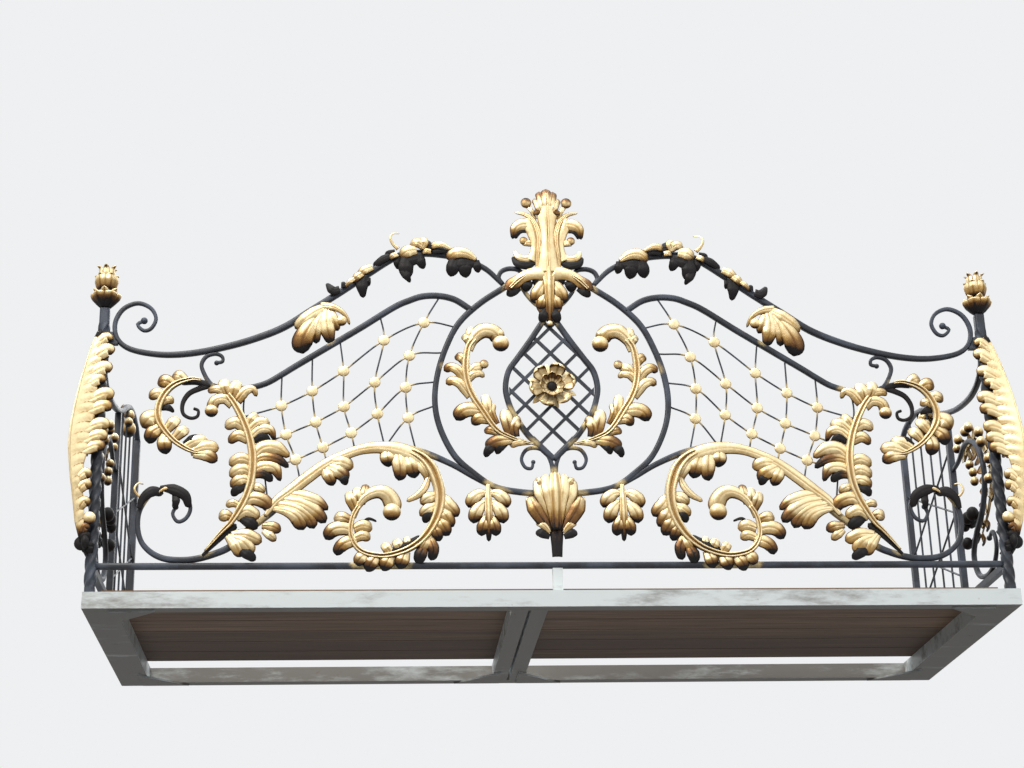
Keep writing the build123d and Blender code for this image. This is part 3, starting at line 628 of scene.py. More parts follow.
# %% Tall leaves
tall = Shape()
blades(tall, """
    975,262 995,268 1018,262 : 20 38 38 : 1 .1 .1
    955,298 975,306 998,303 : 16 26 24 : .2
    935,360 960,352 982,334 : 18 32 22 : 2
    928,378 952,382 986,362 : 28 38 30 : 0 .1 .8
    924,405 952,414 990,396 : 30 42 32 : 0 0 .2
    924,438 955,448 992,432 : 30 40 30 : 0 0 .2
    936,512 965,522 996,504 : 34 38 24 : 0 .1 1
    946,548 975,564 1008,552 : 34 40 32 : 0 0 .1
    985,624 1010,642 1040,634 1052,602 : 34 34 36 36 : 0 0 .1 .8
    1000,656 1030,672 1064,672 : 24 28 22 : 0 .1 .6
    950,262 925,246 902,230 : 26 38 26 : 2
    968,262 935,282 896,264 : 30 42 32 : 0 0 .2
    950,300 920,322 880,310 860,284 : 36 46 46 32 : 0 .1 .5 1.3
    928,362 905,357 882,344 : 20 28 26 : .1
    922,398 888,400 860,380 : 26 34 20 : .6 1.6 2
    922,408 890,422 855,417 836,380 : 34 44 38 10 : 0 0 .1 1.8
    920,440 885,452 840,442 812,424 : 30 40 34 12 : .1 .5 1.2 1.9
    922,452 890,482 850,482 810,458 : 36 48 46 16 : 0 0 0 .6
    922,508 892,520 870,502 : 24 30 14 : 2
    928,518 900,542 870,540 856,512 : 32 36 30 10 : 0 0 .1 1.6
    934,540 905,564 872,568 : 32 38 26 : 0 0 .1
    940,552 922,582 906,592 : 26 32 28 : .1
    975,636 950,666 926,674 914,654 : 34 36 26 10 : .6 0 0 .2
    990,640 980,680 968,704 : 34 42 32 : .9 0 0
    1002,650 1014,684 1008,710 : 30 40 30 : .7 0 0""")
band(tall, "1062,146 1012,200 966,246", (8, 20, 28), (BLACK,), lift=(0, 2, 0))
knob(tall, "1050,604", 40, 1.0)
rib(tall, """
    1056,158 1010,214 983,243 959,282 940,321 925,370 920,419 922,467 935,526 954,575 979,623
    1002,655""",
    (4, 12, 22, 24, 26, 24, 22, 18))
tall.build("tall_leaf_pair", "gold_leaf", ["tall_leaves"], SHEET)

# %% [markdown]
# The hook leaf hangs from the small curl at the end of the second rail, with a dark tendril. A
# black leaf, gilded only on its edge, wraps the end of the lower scroll beside it.

# %% Hook leaves
hook = Shape()
blades(hook, """
    1130,698 1150,714 1174,722 : 28 38 38 : 0 .1 .6
    1165,684 1190,698 1218,696 : 32 44 44 : .4 .3 .9
    1192,646 1214,658 1242,648 : 30 38 30 : 0 0 .6
    1180,530 1188,500 1182,466 : 34 46 38 : 0 .2 1.8
    1198,552 1224,532 1236,500 : 34 46 38 : 0 .5 1.8
    1206,582 1232,578 1258,552 : 40 58 52 : 0 0 .3
    1200,612 1182,612 1164,602 : 16 22 9 : 2
    1202,628 1182,638 1166,632 : 20 28 24 : .1
    1184,540 1162,566 1148,584 : 28 38 28 : .3 0 0
    1158,514 1136,536 1118,548 : 28 40 34 : .3 0 .1
    1128,494 1102,512 1084,522 : 20 28 18 : 1.8
    1130,484 1095,502 1060,514 : 24 40 32 : 0 0 .1
    1110,470 1068,484 1024,486 : 26 46 36 : 0 0 .3
    1100,464 1062,460 1028,444 : 26 42 34 : 0 0 1.3""")
rib(hook, """
    1085,704 1115,706 1160,690 1190,662 1208,625 1212,590 1203,560 1179,526 1149,497 1105,472
    1066,466""",
    (8, 18, 22, 22, 18, 14, 8))
bar(hook, "1062,692 1092,681 1122,664 1139,633 1137,600 1115,585 1094,590 1091,609 1105,616",
    (18, 14, 9, 7), 8, samples=60, painted_shade_and_black=BLACK)
bar(hook, "1030,684 1060,694 1100,703 1140,700", (14, 18, 12), 12, painted_shade_and_black=BLACK)
blades(hook, """
    1256,290 1244,322 1216,344 1186,340 : 12 26 34 22 : 2
    1196,356 1156,350 1120,330 1108,296 : 14 34 32 18 : 2
    1150,336 1146,312 1152,292 : 18 24 14 : 2
    1248,318 1226,340 1196,352 : 5 8 6 : .2
    1206,338 1180,352 1152,356 : 4 10 6 : .2
    1240,318 1262,334 1271,352 1262,370 1246,370 : 9 7 6 5 4 : .3""")
hook.build("hook_leaf_pair", "gold_leaf", ["hook_leaves"], SHEET)

# %% [markdown]
# The scroll leaf winds inwards once. Its last blade is broad and smooth and rolls into a knob.

# %% Scroll leaves
scroll = Shape()
blades(scroll, """
    352,340 330,302 312,284 298,268 : 14 42 44 30 : 0 0 .2 1
    358,306 335,262 312,236 : 30 48 34 : 0 .1 1.2
    364,276 345,236 326,208 : 30 46 34 : 0 .2 1.7
    376,246 364,214 354,190 : 26 38 28 : 0 .6 2
    388,204 374,160 382,130 : 22 36 26 : 0 1.2 2
    402,172 414,142 420,118 : 28 40 30 : .6 1.6 2
    386,208 400,180 414,156 : 26 38 32 : 0 .1 .4
    458,156 468,128 478,104 : 30 44 36 : 0 .3 1.8
    502,146 514,122 526,98 : 30 46 36 : 0 .3 1.8
    542,146 560,120 574,96 : 30 44 34 : 0 .4 2
    572,152 592,134 608,116 : 30 40 32 : 0 .1 .9
    604,190 632,184 656,166 664,146 : 32 42 40 26 : 0 .1 .8 2
    618,222 650,228 678,220 698,196 : 34 46 46 32 : 0 0 .3 1.8
    620,250 645,260 674,262 : 26 38 38 : .9 .2 .1
    608,286 622,320 628,348 : 28 38 28 : .9 .2 .1
    600,296 604,330 602,360 : 22 32 26 : .9 .1 0
    590,304 582,338 577,370 : 20 30 20 : .6 0 1
    524,150 480,160 440,178 408,204 : 8 28 34 20 : 2
    498,148 514,166 526,184 : 22 32 26 : .1
    468,154 480,176 490,196 : 24 34 28 : .1
    446,164 452,184 456,204 : 16 24 18 : .1
    612,196 586,204 564,196 : 26 34 30 : .1
    614,226 586,234 558,228 : 28 40 38 : .1
    594,242 570,256 545,252 : 6 10 6 : 2
    366,284 390,266 402,248 : 20 30 22 : 2
    360,302 385,290 414,270 : 26 36 28 : 0 0 .4
    358,334 385,324 412,308 : 26 38 32 : 0 0 .2
    384,398 398,358 420,332 454,316 : 14 22 22 12 : .1""")
band(scroll, "616,262 602,298 576,328 540,342 512,332 496,304 498,280",
     (18, 22, 30, 38, 48, 54, 52), (0, 0, 0, 0, 0, 0.2), arch=0.45, curl=14, rows=50)
knob(scroll, "499,280", 54, 0.8)
rib(scroll, """
    440,472 405,451 379,420 364,385 354,344 354,303 364,262 385,221 410,190 446,164 492,146
    533,141 579,150 605,169 621,200 623,231 615,267 598,298""",
    (20, 36, 34, 28, 22, 18, 16, 14, 14))
scroll.build("scroll_leaf_pair", "gold_leaf", ["scroll_leaves"], SHEET)

# %% [markdown]
# The arch leaf lies on the lower side of the arch: a smooth strip with three groups below it.

# %% Arch leaves
arch = Shape()
band(arch, "880,268 848,312 800,350 749,392 697,431 646,458 590,478 530,484 465,472 415,446 384,410",
     (10, 30, 38, 38, 36, 32, 32, 38, 50, 50, 30), arch=0.3, curl=0, lift=(2, 6, 8, 8, 6), rows=80)
blades(arch, """
    856,290 815,282 782,262 764,226 : 14 34 52 46 : 0 0 .2 1
    842,304 790,290 750,262 732,230 : 24 46 46 30 : 0 0 .2 1.5
    826,318 770,304 722,274 698,248 : 28 52 48 26 : 0 0 .1 1.7
    810,336 765,326 716,308 692,288 : 26 44 40 14 : 0 0 0 1.4
    655,400 636,368 : 34 22 : 2
    706,424 690,394 676,366 : 34 42 30 : 0 0 1.3
    700,428 665,410 630,386 : 38 50 38 : 0 0 1.3
    692,436 655,436 616,424 : 36 48 42 : 0 0 .3
    430,452 408,425 394,398 390,374 : 34 40 28 12 : 0 0 .1 .5
    456,468 440,430 428,390 : 36 50 38 : 0 0 1.7
    482,476 476,440 473,405 478,382 : 38 50 46 30 : 0 0 .3 1.9
    514,480 512,455 508,426 : 38 48 42 : 0 .1 1.2""")
arch.build("arch_leaf_pair", "gold_leaf", ["arch_leaves"], SHEET)

# %% [markdown]
# The spray beside the pointed frame ends in a blade that rolls into a large knob.

# %% Medallion leaves
medallion = Shape()
blades(medallion, """
    150,500 168,484 178,468 : 20 28 18 : 2
    185,494 204,474 212,458 : 24 30 16 : 2
    128,512 160,508 190,498 208,484 : 26 42 44 34 : 0 .3 .9 1.4
    72,500 105,502 136,496 : 8 24 26 : 0
    172,534 192,540 214,546 : 20 28 30 : 0 .5 1
    200,576 228,580 252,566 : 28 38 36 : 0 .2 1.2
    215,604 250,610 282,602 300,578 : 30 48 50 38 : 0 0 .3 1.5
    256,652 285,692 310,706 330,698 : 24 32 32 24 : 0 0 .1 .6
    266,700 290,736 315,751 336,742 : 24 32 32 26 : 0 .1 .2 1.2
    264,756 282,782 302,790 : 22 32 28 : 0 .3 .8
    252,826 266,850 280,856 : 20 28 24 : .1
    240,836 236,862 233,884 : 18 24 18 : 1
    248,832 252,862 248,890 : 20 30 24 : 0 0 .1
    118,520 124,548 112,574 98,576 : 26 36 38 28 : 1.7 .8 .1 .4
    130,522 140,560 146,592 140,614 : 28 40 42 30 : 1.3 .6 .1 0
    172,564 190,600 188,634 : 14 22 30 : .9 .5 .1
    180,570 198,602 206,638 212,664 : 16 22 32 26 : .7 .4 0 0
    268,700 248,724 226,730 210,722 : 20 28 26 14 : .1
    264,722 240,748 214,756 : 20 30 30 : 0 0 .2""")
band(medallion, "256,806 246,844 214,872 178,868 157,838",
     (20, 40, 50, 52, 50), (0, 0, 0, 0.1, 0.4), arch=0.45, curl=14, rows=40)
knob(medallion, "157,832", 52, 0.8)
knob(medallion, "160,866", 26)
knob(medallion, "211,762", 28, -0.8)
rib(medallion, """
    62,497 100,506 133,518 165,534 190,560 221,609 246,650 262,691 269,737 267,778 259,819
    240,846""",
    (6, 14, 20, 20, 22, 18))
medallion.build("medallion_leaf_pair", "gold_leaf", ["medallion_leaves"], SHEET)

# %% [markdown]
# A leaf hangs under the top rail like an open hand.

# %% Rail leaves
rail_leaf = Shape()
blades(rail_leaf, """
    722,956 690,951 660,938 640,918 630,896 : 26 26 18 12 7 : .2
    722,936 745,898 765,862 778,828 774,798 : 26 42 58 66 56 : 0 0 .3 .9 1.8
    710,950 740,930 768,908 800,882 : 30 40 42 30 : 0 0 .1
    710,938 724,905 734,873 734,832 : 26 36 36 22 : 0 0 0 .2 1.8
    700,944 702,904 698,870 688,832 : 34 48 48 24 : 0 0 0 .4 1.8
    692,940 682,906 666,876 : 28 36 22 : 0 0 .6""", lift=(3, 10, 10, 4))
knob(rail_leaf, "656,906", 34)
rail_leaf.build("rail_leaf_pair", "gold_leaf", ["rail_leaves"], SHEET)

# %% [markdown]
# The leaves on top of the rail lie back, so from below they show dark undersides that hang over
# the bar and only a little gilding on their shoulders.

# %% Leaves on the top rail
top_leaf = Shape()
blades(top_leaf, """
    258,1118 266,1092 262,1062 : 42 46 30 : 2
    232,1116 228,1098 222,1080 : 24 28 20 : 2
    296,1118 304,1092 312,1066 : 40 44 32 : 2
    312,1148 340,1150 378,1150 : 8 20 24 : 2
    384,1150 388,1170 376,1188 : 32 40 28 : 2
    448,1124 454,1092 446,1058 : 44 50 34 : 2
    410,1134 408,1114 396,1092 : 30 34 20 : 2
    480,1126 484,1104 478,1090 : 18 18 10 : 2
    488,1144 520,1140 : 18 14 : 2
    590,1054 592,1022 588,990 : 38 38 14 : 2
    575,1052 571,1030 : 20 14 : 2
    648,1020 653,1044 : 20 8 : 2
    662,1012 684,1008 704,1038 : 26 28 8 : 2
    226,1112 262,1106 318,1104 : 24 50 40 : 2
    400,1128 440,1118 478,1110 : 28 50 24 : 2
    458,1080 452,1062 440,1044 : 36 28 8 : 2
    490,1136 522,1120 556,1098 : 18 26 18 : 2
    574,1050 600,1044 : 26 22 : 2""", lift=(4, 6, 2))
blades(top_leaf, """
    230,1118 262,1136 296,1138 322,1122 : 12 34 42 34 : 0 0 .1 .6
    310,1154 340,1166 376,1166 : 8 22 26 : 0 0 .4
    404,1152 396,1176 412,1190 : 20 30 20 : 0 .1 .4
    398,1160 416,1172 440,1170 : 26 32 26 : .1
    374,1143 402,1145 : 18 22 : .2
    420,1148 446,1142 472,1128 : 30 44 38 : 0 0 .3
    480,1134 506,1120 : 18 20 : .1
    560,1088 586,1074 604,1058 : 22 30 22 : 0 0 .4
    590,1066 606,1054 620,1038 : 20 26 20 : .2
    612,1050 630,1036 646,1020 : 12 16 10 : .2
    478,1152 496,1170 503,1191 494,1206 474,1210 : 14 9 7 5 3 : .2""", lift=(10, 14, 10))
top_leaf.build("top_leaf_pair", "gold_leaf", ["top_leaves"], SHEET)

# %% [markdown]
# A small leaf hangs under the ring on each side of the middle, alike on both sides of its own
# midrib. Another fills the corner where the tall leaf meets the lower scroll.

# %% Small leaves under the medallion and at the foot
drop = Shape()
DROP_MIDDLE = -206
for turn in (1, -1):
    blades(drop, """
        0,338 26,336 48,318 60,296 : 12 34 42 30 : .2 0 0 .8
        0,316 22,300 40,272 46,246 : 12 34 44 32 : .2 0 .1 1.3
        0,276 10,254 20,226 22,206 : 12 28 38 26 : .2 .1 .8 2""", middle=DROP_MIDDLE, turn=turn)
band(drop, "206,368 206,330 206,280 206,230 206,190", (10, 20, 24, 26, 10), (0, 0, 0, 0.7, BLACK),
     ridges=1, lift=(4, 10, 12, 10, 2), rows=40)
drop.build("drop_leaf_pair", "gold_leaf", ["drop_leaves"], SHEET)

foot_leaf = Shape()
blades(foot_leaf, """
    955,168 930,148 905,132 : 26 34 22 : 2
    990,206 965,175 948,142 : 22 40 32 : 0 0 .4
    985,202 945,186 912,152 : 24 46 36 : 0 0 .3
    980,208 938,206 888,188 : 22 44 34 : 0 .1 .4
    888,236 858,232 832,222 : 18 34 34 : .5 .3 1
    884,222 862,204 846,192 : 18 28 22 : .1""")
foot_leaf.build("foot_leaf_pair", "gold_leaf", ["foot_leaves"], SHEET)

# %% [markdown]
# ## The tulip under the medallion
# Fluted blades open from a narrow dark stem, with a folded leaf on each side and small ones
# below them.

# %% Tulip
calyx = Shape()
band(calyx, "0,138 0,170 0,205 0,246", (30, 34, 40, 50), (BLACK, BLACK, 1.6, 0.9), both=False,
     lift=(0, 2, 0), arch=0.3, curl=4)
blades(calyx, """
    16,218 42,252 64,288 80,332 : 14 42 50 26 : 1.6 1.2 .7 .3
    30,214 62,256 84,296 88,330 : 5 6 7 6 : .1
    20,214 38,234 60,250 : 14 26 22 : .1
    22,200 42,208 62,220 : 16 28 26 : 2
    8,236 28,296 48,346 52,388 : 14 36 44 28 : 1.3 .3 0 0
    38,356 50,378 62,380 : 16 20 16 : .1""", lift=(5, 8, 10, 6))
blades(calyx, """
    6,224 14,300 25,360 30,402 : 18 34 44 30 : 1.5 .2 0 0""", lift=(10, 14, 16, 8))
band(calyx, "0,220 0,300 0,360 0,412", (26, 38, 44, 30), (1.6, 0.2, 0, 0), lift=(12, 18, 20, 10),
     ridges=1, both=False)
calyx.build("calyx_leaf_piece", "gold_leaf", ["calyx_leaf"], SHEET)

# %% [markdown]
# ## The crest
# The trunk carries a fluted fan. Beside it stand a ribbed horn, a stalk with a knob, and a web
# that ends in three curled blades. Arms reach down to the medallion, and a leaf hangs between.

# %% Crest
crest = Shape()
web(crest, "40,1072 31,1118 23,1163 21,1198 27,1242 36,1286 38,1322 30,1339",
    lift=(8, 14, 16, 14, 12, 10))
blades(crest, """
    16,1302 30,1286 44,1289 : 14 24 16 : .9
    12,1262 26,1309 39,1337 : 16 30 24 : 0 0 .7
    6,1262 14,1317 23,1362 : 16 32 28 : 0 0 1.1""", lift=(12, 18, 12), curl=6)
band(crest, "0,1262 0,1320 0,1371", (16, 32, 30), (0, 0, 1.1), lift=(12, 20, 14), curl=6, both=False)
web(crest, "70,1125 58,1145 53,1168 57,1189 64,1209 74,1236 70,1262",
    "38,1109 28,1145 25,1185 30,1212 40,1238 50,1258 60,1269", lift=(4, 6))
blades(crest, """
    62,1222 86,1220 102,1200 : 10 16 8 : 2
    52,1244 80,1244 101,1230 111,1199 : 42 44 34 10 : 0 0 .2 1.8
    54,1180 68,1179 80,1182 : 24 22 20 : .1
    40,1116 70,1102 98,1109 112,1136 : 18 30 28 10 : 2
    46,1132 74,1123 96,1132 107,1156 : 24 26 22 8 : .1
    30,1063 38,1050 40,1034 : 22 28 24 : 2
    60,1048 70,1032 70,1014 : 26 36 30 : 2
    96,1026 116,1010 134,1002 : 26 34 28 : 2""", lift=(2, 6, 4))
web(crest, "0,1040 44,1048 76,1038 96,1020 126,1008",
    "30,1098 76,1082 106,1063 134,1046 144,1018", (0, 0, 0.2, 0.7, 1.5), lift=(10, 10, 6))
rib(crest, "70,1065 98,1044 124,1018", (6, 14, 10), lift=(14,))
band(crest, "34,1087 30,1140 26,1190 38,1244 64,1279 102,1293",
     (14, 20, 22, 22, 18, 6), (0.1,), ridges=2, lift=(8, 12, 12, 8, 4), rows=50)
band(crest, "36,1264 50,1295 62,1315", (10, 14, 16))
knob(crest, "76,1188", 26, -1.0)
knob(crest, "65,1323", 34, -1.2)
web(crest, "20,1046 42,1010 44,970 30,932 14,912", shade=(0, 0, 0.3, 1.0, BLACK),
    lift=(10, 8, 4, 2, 0), arch=0.1)
blades(crest, """
    8,950 20,928 26,906 : 22 30 24 : 1.6 2 2
    6,1008 20,976 31,944 : 26 36 26 : 0 .1 1.7
    8,1056 24,1024 40,998 45,972 : 32 42 44 28 : 0 0 .1 1.8""")
band(crest, "0,1092 0,1032 0,972 0,904", (46, 34, 26, 18), (0, 0, 0.3, 1.1), ridges=1,
     lift=(12, 18, 16, 6), both=False, rows=40)
knob(crest, "0,901", 18, 0.2, both=False)
rib(crest, "0,1044 0,1129 0,1251 0,1350", (10, 12, 12, 8), both=False, lift=(20, 19, 20, 20))
crest.build("crest_leaves", "gold_leaf", ["crest_leaf"], SHEET)

# %% [markdown]
# ## Leaves on the corner posts
# Each post carries a tall leaf folded over its outer corner. Its ridge bows out from the post
# along the diagonal. One wing is drawn on the front sheet, and the other is its mirror image
# in the diagonal, drawn on the sheet of the side railing.

# %% The wing of a post leaf
BOW = [0, 22, 34, 40, 46, 53, 58, 62, 62, 59, 54, 48, 41, 33, 24, 14, 0]
WING = [12, 20, 26, 32, 32, 34, 42, 56, 62, 62, 64, 60, 48, 46, 42, 32, 14]
LEAF_FOOT, LEAF_HEAD = 150, 870


def wing_point(sheet, level, reach):
    """Places (distance, level) on a sheet, reach millimetres inwards from the ridge."""
    level, reach = np.broadcast_arrays(level, reach)
    share = (level - LEAF_FOOT) / (LEAF_HEAD - LEAF_FOOT)
    return np.stack([sheet.post - sheet.hand * (-15 - along(BOW, share) + reach), level], -1)


def wing_lift(level, reach):
    """The ridge stands out by the bow; the wing falls back by half of it over 60 mm."""
    bow = along(BOW, (level - LEAF_FOOT) / (LEAF_HEAD - LEAF_FOOT))
    return 15 + bow * (1 - 0.5 * np.minimum(reach / 60, 1.2)) - DEPTH / 2 - 3


def wing(shape, sheet):
    """Add the sheet of the wing: reach = width(level) * across, for across from 0 to 1.

    Flutes rise from the ridge: its height waves by 2 mm with (level - 1.1 reach + bend) / 33 mm, and each
    valley of that wave holds a dark line of painted shade that starts a little way from the ridge. The
    bend is reach squared / 90 mm. The grid runs the other way on the side sheet, so that it faces out too.
    """
    across = np.linspace(0, 1, 14)[::-sheet.hand]
    level = np.linspace(LEAF_FOOT, LEAF_HEAD, 200)[:, None]
    reach = along(WING, (level - LEAF_FOOT) / (LEAF_HEAD - LEAF_FOOT)) * across
    flute = np.sin(np.pi * (level - 1.1 * reach + reach**2 / 90) / 33) ** 2
    inner = np.clip(2.5 * across - 0.3, 0, 1)
    height = DEPTH / 2 + wing_lift(level, reach) + 2 * inner * flute
    foot = 2 * np.clip((235 - level) / 40, 0, 1)
    # Painted shade in the valleys of the flutes; the foot turns black, and the outer edge is a little
    # darker.
    painted_shade_and_black = inner * np.exp(-flute / 0.012) + foot + 0.3 * across**6
    shape.add(sheet.place(wing_point(sheet, level, reach) * MM, height * MM), painted_shade_and_black, both=True)


# %% [markdown]
# Round fingers stand along the edge of each wing, the longest in the middle. Each is drawn by its
# level, its reach from the ridge, its width and the shades of its root and its tip.

# %% Post leaves
post_leaf = Shape()
FINGERS = """
    168 22 32 2 2, 196 26 30 2 2, 222 32 28 1 1.5, 300 42 32 .2 .4, 353 50 36 0 .3,
    388 54 34 0 .1, 478 100 40 0 1.2, 512 106 40 0 .3, 548 108 42 0 .1, 607 106 42 0 1,
    646 104 46 0 .2, 694 66 40 0 .9, 734 76 48 0 .1, 794 66 48 0 .2, 838 46 36 0 .5"""
for sheet in (front, left_side):
    wing(post_leaf, sheet)
    for level, reach, width, root, tip in np.reshape(numbers(FINGERS), (-1, 5)):
        up = level + np.array([-24, -4, 4, -8])
        out = reach * np.array([0.30, 0.60, 0.84, 1])
        widths = width * np.array([0.5, 1, 1.05, 0.8])
        band(post_leaf, wing_point(sheet, up, out), widths, (root, root, root, tip), sheet=sheet,
             lift=wing_lift(up, out) + [-5, 0, 4, 1], arch=0.3, curl=7)
    knob(post_leaf, wing_point(sheet, 256, 42), 38, 0.3, sheet=sheet, raised=wing_lift(256, 42) + 8)
    knob(post_leaf, wing_point(sheet, 182, 2), 44, BLACK, sheet=sheet, raised=wing_lift(182, 2),
         squash=0.5)
    band(post_leaf, wing_point(sheet, [842, 862, 868], [8, 8, -2]), (20, 18, 12), (BLACK,),
         sheet=sheet, lift=(8, 8))
post_leaf.build("post_leaf_pair", "gold_leaf", ["left_post_leaf", "right_post_leaf"], SHEET)

# %% [markdown]
# ## Twisted posts
# The smith heats the bar, holds its foot and turns its head. Each section is the same rounded
# square, turned by an angle that grows evenly between the plain foot and the plain head.

# %% Posts
post = Shape()
TURNS, PLAIN_END, HALF_BAR = 4.5, 0.05, 15 * MM
level = np.linspace(post_low.z, post_head, 300)
turned = 2 * np.pi * TURNS * np.clip((level - PLAIN_END) / (post_head - 2 * PLAIN_END), 0, 1)[:, None]
section = squarish(24, 9.0) * HALF_BAR
cross = np.stack([
    section[:, 0] * np.cos(turned) - section[:, 1] * np.sin(turned),
    section[:, 0] * np.sin(turned) + section[:, 1] * np.cos(turned),
    level[:, None] + 0 * turned * section[:, 0]], -1)
post.add(cross + [post_x, panel_y, 0], closed=True, both=True)
post.build("twisted_posts", "black_iron", ["left_post", "right_post"])

# %% [markdown]
# ## Finials and the rosette
# A bud is a ring of petals: each is a grid whose first parameter climbs a profile of radius and
# height and whose second runs across the petal, narrow at its foot and rounded at its tip.

# %% Rings of petals
def petals(count, radius, height, width, cup, turn_by=0.0, dark=0.0):
    """Grids of petals about +Z: radius(s) and height(s) along, half angle width(s) across.

    The radius falls by cup * t * t towards a petal's edges, which makes it hollow. Painted shade grows by
    dark * (1 - s) squared towards the root, and darkens the edges and the middle of a petal.
    """
    s = np.linspace(0, 1, 14)[None, :, None]
    t = np.linspace(-1, 1, 9)
    radius, height, width = (along(values, s) for values in (radius, height, width))
    middle = (np.arange(count) * 2 * np.pi / count + turn_by)[:, None, None]
    tip = np.sqrt(np.clip(1 - np.clip((s - 0.55) / 0.45, 0, 1) ** 2, 0.02, 1))
    angle = middle + t * width * tip
    reach = radius * (1 - cup * t * t)
    painted_shade_and_black = np.abs(t) ** 4 * 0.6 + 0.5 * np.exp(-((t / 0.15) ** 2)) + dark * (1 - s) ** 2 + 0 * angle
    return np.stack([reach * np.cos(angle), reach * np.sin(angle), height + 0 * angle], -1) * MM, painted_shade_and_black


print("six petals have", petals(6, (1, 2), (0, 1), (0.5, 0.5), 0)[1].size, "points")

# %% [markdown]
# A finial is two open buds, one above the other, round a core. Each bud has an outer and an inner ring,
# and painted shade darkens the roots of its petals.

# %% Finials
finial = Shape()
seat = np.array([post_x, panel_y, post_head])
for count, radius, height, width, turn_by, dark in (
        (6, (12, 26, 44, 48, 44), (2, 14, 34, 46, 40), (0.55, 0.60, 0.55, 0.50), 0.0, 1.7),
        (6, (12, 24, 36, 42), (10, 28, 52, 62), (0.55, 0.55, 0.45, 0.35), 0.5, 0.5),
        (6, (12, 30, 37, 34, 38), (52, 70, 92, 108, 112), (0.60, 0.62, 0.58, 0.50), 0.0, 1.0),
        (6, (10, 22, 26, 24, 34), (70, 94, 118, 134, 142), (0.60, 0.60, 0.50, 0.36), 0.5, 0.3)):
    grid, painted_shade_and_black = petals(count, radius, height, width, 0.12, turn_by, dark)
    finial.add(grid + seat, painted_shade_and_black, both=True)
CORE_RADIUS, CORE_HEIGHT = 11, 110
around = np.linspace(0, 2 * np.pi, 16, endpoint=False)
rise = np.linspace(0, CORE_HEIGHT, 6)[:, None]
core = np.stack(np.broadcast_arrays(
    CORE_RADIUS * np.cos(around), CORE_RADIUS * np.sin(around), rise), -1) * MM
finial.add(core + seat, 1.2, closed=True, both=True)
finial.build("finial_buds", "gold_leaf", ["finials"], SHEET)

# %% [markdown]
# The rosette is three such rings that face the viewer, round a black ball: painted shade where its heart
# is hollow.

# %% Rosette
rosette = Shape()
HEART = 690
heart = np.array([0, panel_y, HEART * MM])
FACING_FRONT = np.array([[1.0, 0, 0], [0, 0, 1.0], [0, -1.0, 0]])
for count, radius, height, width, cup, turn_by in (
        (6, (12, 40, 66, 74, 70), (8, 10, 18, 30, 36), (0.44, 0.44, 0.42, 0.36), 0.10, 0.2),
        (6, (12, 46, 66, 80), (6, 6, 4, 0), (0.20, 0.18, 0.14, 0.06), 0.0, 0.72),
        (8, (14, 26, 38, 40), (10, 14, 28, 38), (0.42, 0.40, 0.38, 0.32), 0.10, 0.0)):
    grid, painted_shade_and_black = petals(count, radius, height, width, cup, turn_by)
    rosette.add(grid @ FACING_FRONT + heart, painted_shade_and_black)
# A black ball as painted shade in the hollow heart.
rosette.add(ball((0, HEART), 30, front, 14, 0.5), BLACK, closed=True)
rosette.build("rosette_petals", "gold_leaf", ["rosette"], SHEET)

# %% [markdown]
# ## Nets
# Thin wires are strung between the rails and bend from one crossing to the next. A thin round
# plate covers each crossing. The plates are gilded and the wires are not, so they are two pieces.

# %% Wires and plates
WIRES = """
    950,590 838,626 744,675 648,742 523,846 397,907 287,890
    870,510 822,532 732,573 646,624 551,705 443,795 345,805
    860,430 792,451 709,490 623,538 543,601 455,688 360,708
    520,492 448,588 362,630
    838,730 838,626 822,532 792,451 775,375
    745,790 744,675 732,573 709,490 695,436
    660,845 648,742 646,624 623,538 610,474
    535,930 523,846 551,705 543,601 520,492
    345,999 397,907 443,795 455,688 448,588 425,482
    950,680 950,590 900,480 870,300"""
PLATES = """
    397,907 523,846 443,795 648,742 551,705 455,688 744,675 646,624 543,601 448,588 838,626
    732,573 623,538 822,532 709,490 792,451"""
wires = Shape()
for wire in WIRES.strip().splitlines():
    points = front.read(wire)
    bar(wires, points, (5.5,), 5.5, samples=12 * len(points), profile=ROUND)
wires.build("net_wires", "black_iron", ["nets"])

plates = Shape()
for centre in front.read(PLATES):
    plates.add(ball(centre, 36, front, squash=0.26), closed=True, both=True)
plates.build("net_plates", "gold_leaf", ["nets"])

# %% [markdown]
# ## Side railings
# Each side railing runs from the corner post back to the wall. It has the same parts as the
# front: a curved handrail, a net of wires between two upright bars, and a scroll with a leaf.

# %% Side bars
HANDRAIL = left_side.read("""
    12,860 70,888 170,898 280,884 370,852 450,812 540,778 640,750 740,733 840,728 920,745 965,780
    985,822""")
side_rail = Shape()
bar(side_rail, HANDRAIL, (BAR,), sheet=left_side)
side_rail.build("side_handrail_bars", "black_iron", ["side_handrails"])

side_scroll = Shape()
bar(side_scroll, """
    560,560 640,572 710,600 790,590 860,530 880,440 830,350 740,290 690,230 720,160 800,134
    880,150 920,200 900,250 860,240""", (12, 16, 16, 16, 10), sheet=left_side, tip=18)
side_scroll.build("side_scroll_bars", "black_iron", ["side_scrolls"])

# %% [markdown]
# Fingers of the side leaf follow its scroll, and three more hang under the handrail. Their knobs
# are given by distance and height, diameter, shade and how far they stand out.

